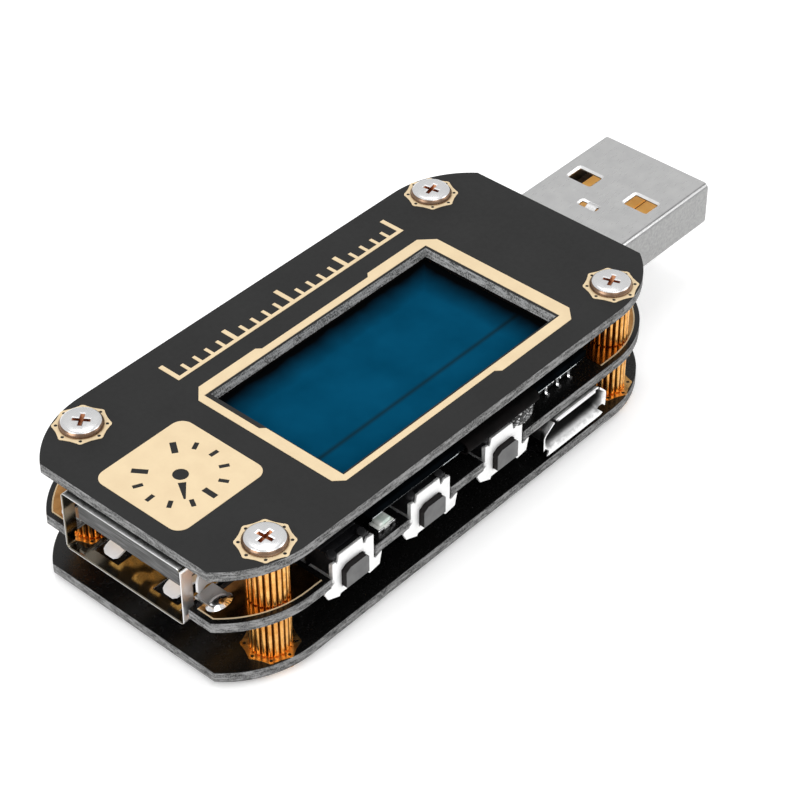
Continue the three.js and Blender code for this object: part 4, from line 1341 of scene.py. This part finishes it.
def make_led():
    """A side-mount LED: white body, clear lens, and tinned ends folded up in steps."""
    (x0, x1), (y0, y1), (z0, z1) = local_box("status_led")
    end = 0.35
    body = block(x0 + 0.12, x1 - 0.12, y0 + 0.1, y1, z0 + 0.08, z0 + 0.5)
    show("led_base", "led_white", body, "status_led")
    lens = block(x0 + end, x1 - end, y0 + 0.2, y1 - 0.08, z0 + 0.45, z1, 0.12, 3)
    show("led_lens", "led_lens", lens)
    ends = []
    for a, b in ((x0, x0 + end), (x1 - end, x1)):
        ends.append(block(a, b, y0 + 0.02, y1 - 0.02, z0, z0 + 0.4))
    reach = x1 - x0
    # Each step: from and to along the LED, then its foot and top above the board
    steps = ((0.3, 0.7, 0.2, 0.42), (0.6, reach - 0.7, 0.0, 0.24), (reach - 0.75, reach - 0.3, 0.2, 0.42))
    for near, far, low, high in steps:
        ends.append(block(x0 + near, x0 + far, y0, y0 + 0.14, z0 + low, z0 + high, 0.03))
    show("led_ends", "solder", ends)


def solder_blob(centre, reach, seed):
    """A wetted dome of solder, flat underneath."""
    bm = bmesh.new()
    bmesh.ops.create_icosphere(bm, subdivisions=3, radius=1)
    chance = random.Random(seed)
    lean = Vector((chance.uniform(-0.2, 0.2), chance.uniform(-0.2, 0.2), 0))
    for vertex in bm.verts:
        height = max(vertex.co.z, -0.05)
        spread = 1 + 0.35 * (1 - max(height, 0)) ** 3
        vertex.co = Vector((vertex.co.x * spread, vertex.co.y * spread, height)) + lean * max(height, 0)
    return cleaned(placed(bm, centre, reach))


def make_solder():
    """Solder over the shells' ears and the contacts' ends, where they meet the main board."""
    z, from_end = Z_MAIN_TOP, 0.7
    blobs = []
    ears = [(x, side * y) for x, y in ((-24.3, 8.1), (-16.4, 8.1), (23.9, 7.2)) for side in (1, -1)]
    for seed, (x, y) in enumerate(ears):
        blobs.append(solder_blob((x, y, z), (1.0, 0.6, 0.5), seed))
    for node in [f"usb_{a}_contact_{i}" for a in ("plug", "socket") for i in range(1, 5)]:
        (x0, x1), (y0, y1), _ = local_box(node)
        x = x0 + from_end if "plug" in node else x1 - from_end
        blobs.append(solder_blob((x, (y0 + y1) / 2, z), (0.75, (y1 - y0) / 2, 0.34), len(blobs)))
    show("solder_joints", "solder", blobs)


# ---- CAD nodes that are shown as they are ----

KEPT_LOOKS = {
    "usb_plug_insert": "insert_brown",
    "usb_socket_insert": "insert_grey",
    "micro_usb_insert": "tongue_grey",
    "display_foam_pad": "foam_tape",
}
KEPT_LOOKS.update({f"usb_plug_contact_{i}": "plug_gold" for i in range(1, 5)})
KEPT_LOOKS.update({f"button_dome_{i}": "screw_nickel" for i in range(1, 4)})


def dress_kept_nodes():
    for node, look in KEPT_LOOKS.items():
        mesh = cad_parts[node].data
        mesh.materials.clear()
        mesh.materials.append(LOOKS[look])


# ---- Stage, light and camera ----

LIGHT_TARGET, ROOM_STRENGTH = Vector((0, 0, 0.006)), 0.74
FLOOR_HALF, FLOOR_DROP = 3.0, 0.00002


def make_stage():
    """A plain pale floor, a hair below the meter."""
    floor_look = Look("floor_white", (0.95, 0.95, 0.95), 0.9, specular=0.05)
    floor_look.bump(floor_look.noise(30, 2), 0.02, 0.1)
    floor_look.glow((1, 1, 1), 0.24)
    corners = [(x * FLOOR_HALF, y * FLOOR_HALF, 0) for x, y in ((-1, -1), (1, -1), (1, 1), (-1, 1))]
    mesh = raw_mesh(corners, [(0, 1, 2, 3)])
    mesh.materials.append(LOOKS["floor_white"])
    floor = linked("floor", mesh)
    floor.location.z = -FLOOR_DROP


def area_light(name, position, size, power):
    """A square white lamp that faces the meter."""
    data = bpy.data.lights.new(name, "AREA")
    data.shape = "SQUARE"
    data.size = size
    data.energy = power
    light = linked(name, data)
    light.location = position
    light.rotation_euler = (LIGHT_TARGET - Vector(position)).to_track_quat("-Z", "Y").to_euler()


def make_light():
    """Four soft lamps in a pale room."""
    world = bpy.data.worlds.new("studio")
    bpy.context.scene.world = world
    world.use_nodes = True
    background = world.node_tree.nodes["Background"]
    background.inputs["Color"].default_value = (1, 1, 1, 1)
    background.inputs["Strength"].default_value = ROOM_STRENGTH
    area_light("key", (-0.10, -0.35, 0.42), 0.25, 0.4)
    area_light("left_fill", (-0.45, 0.05, 0.25), 0.25, 0.9)
    area_light("top", (0.05, 0.10, 0.55), 0.30, 0.7)
    area_light("edge", (0.33, -0.37, 0.30), 0.20, 0.4)


CAMERA_EYE = Vector((-0.121071, -0.106682, 0.138650))
CAMERA_RIGHT = Vector((0.66491, -0.74692, -0.00350))
CAMERA_UP = Vector((0.48251, 0.42594, 0.76535))
CAMERA_LENS, SENSOR = 109.93, 36.0


def make_camera():
    data = bpy.data.cameras.new("camera")
    data.lens = CAMERA_LENS
    data.sensor_width = SENSOR
    data.clip_start = 0.01
    data.clip_end = 10
    camera = linked("camera", data)
    axes = Matrix((CAMERA_RIGHT, CAMERA_UP, CAMERA_RIGHT.cross(CAMERA_UP))).transposed()
    camera.matrix_world = Matrix.Translation(CAMERA_EYE) @ axes.to_4x4()
    bpy.context.scene.camera = camera


bpy.context.scene.view_settings.view_transform = "Standard"
make_looks()
make_boards()
make_artwork()
make_lands()
make_screws()
make_standoffs()
make_plug()
make_socket()
make_socket_contacts()
make_micro_port()
for number, button_x in enumerate(BUTTON_XS, start=1):
    make_button(number, button_x)
make_display()
make_ribbon()
make_fixing_compound()
make_components()
make_solder()
dress_kept_nodes()
make_stage()
make_light()
make_camera()
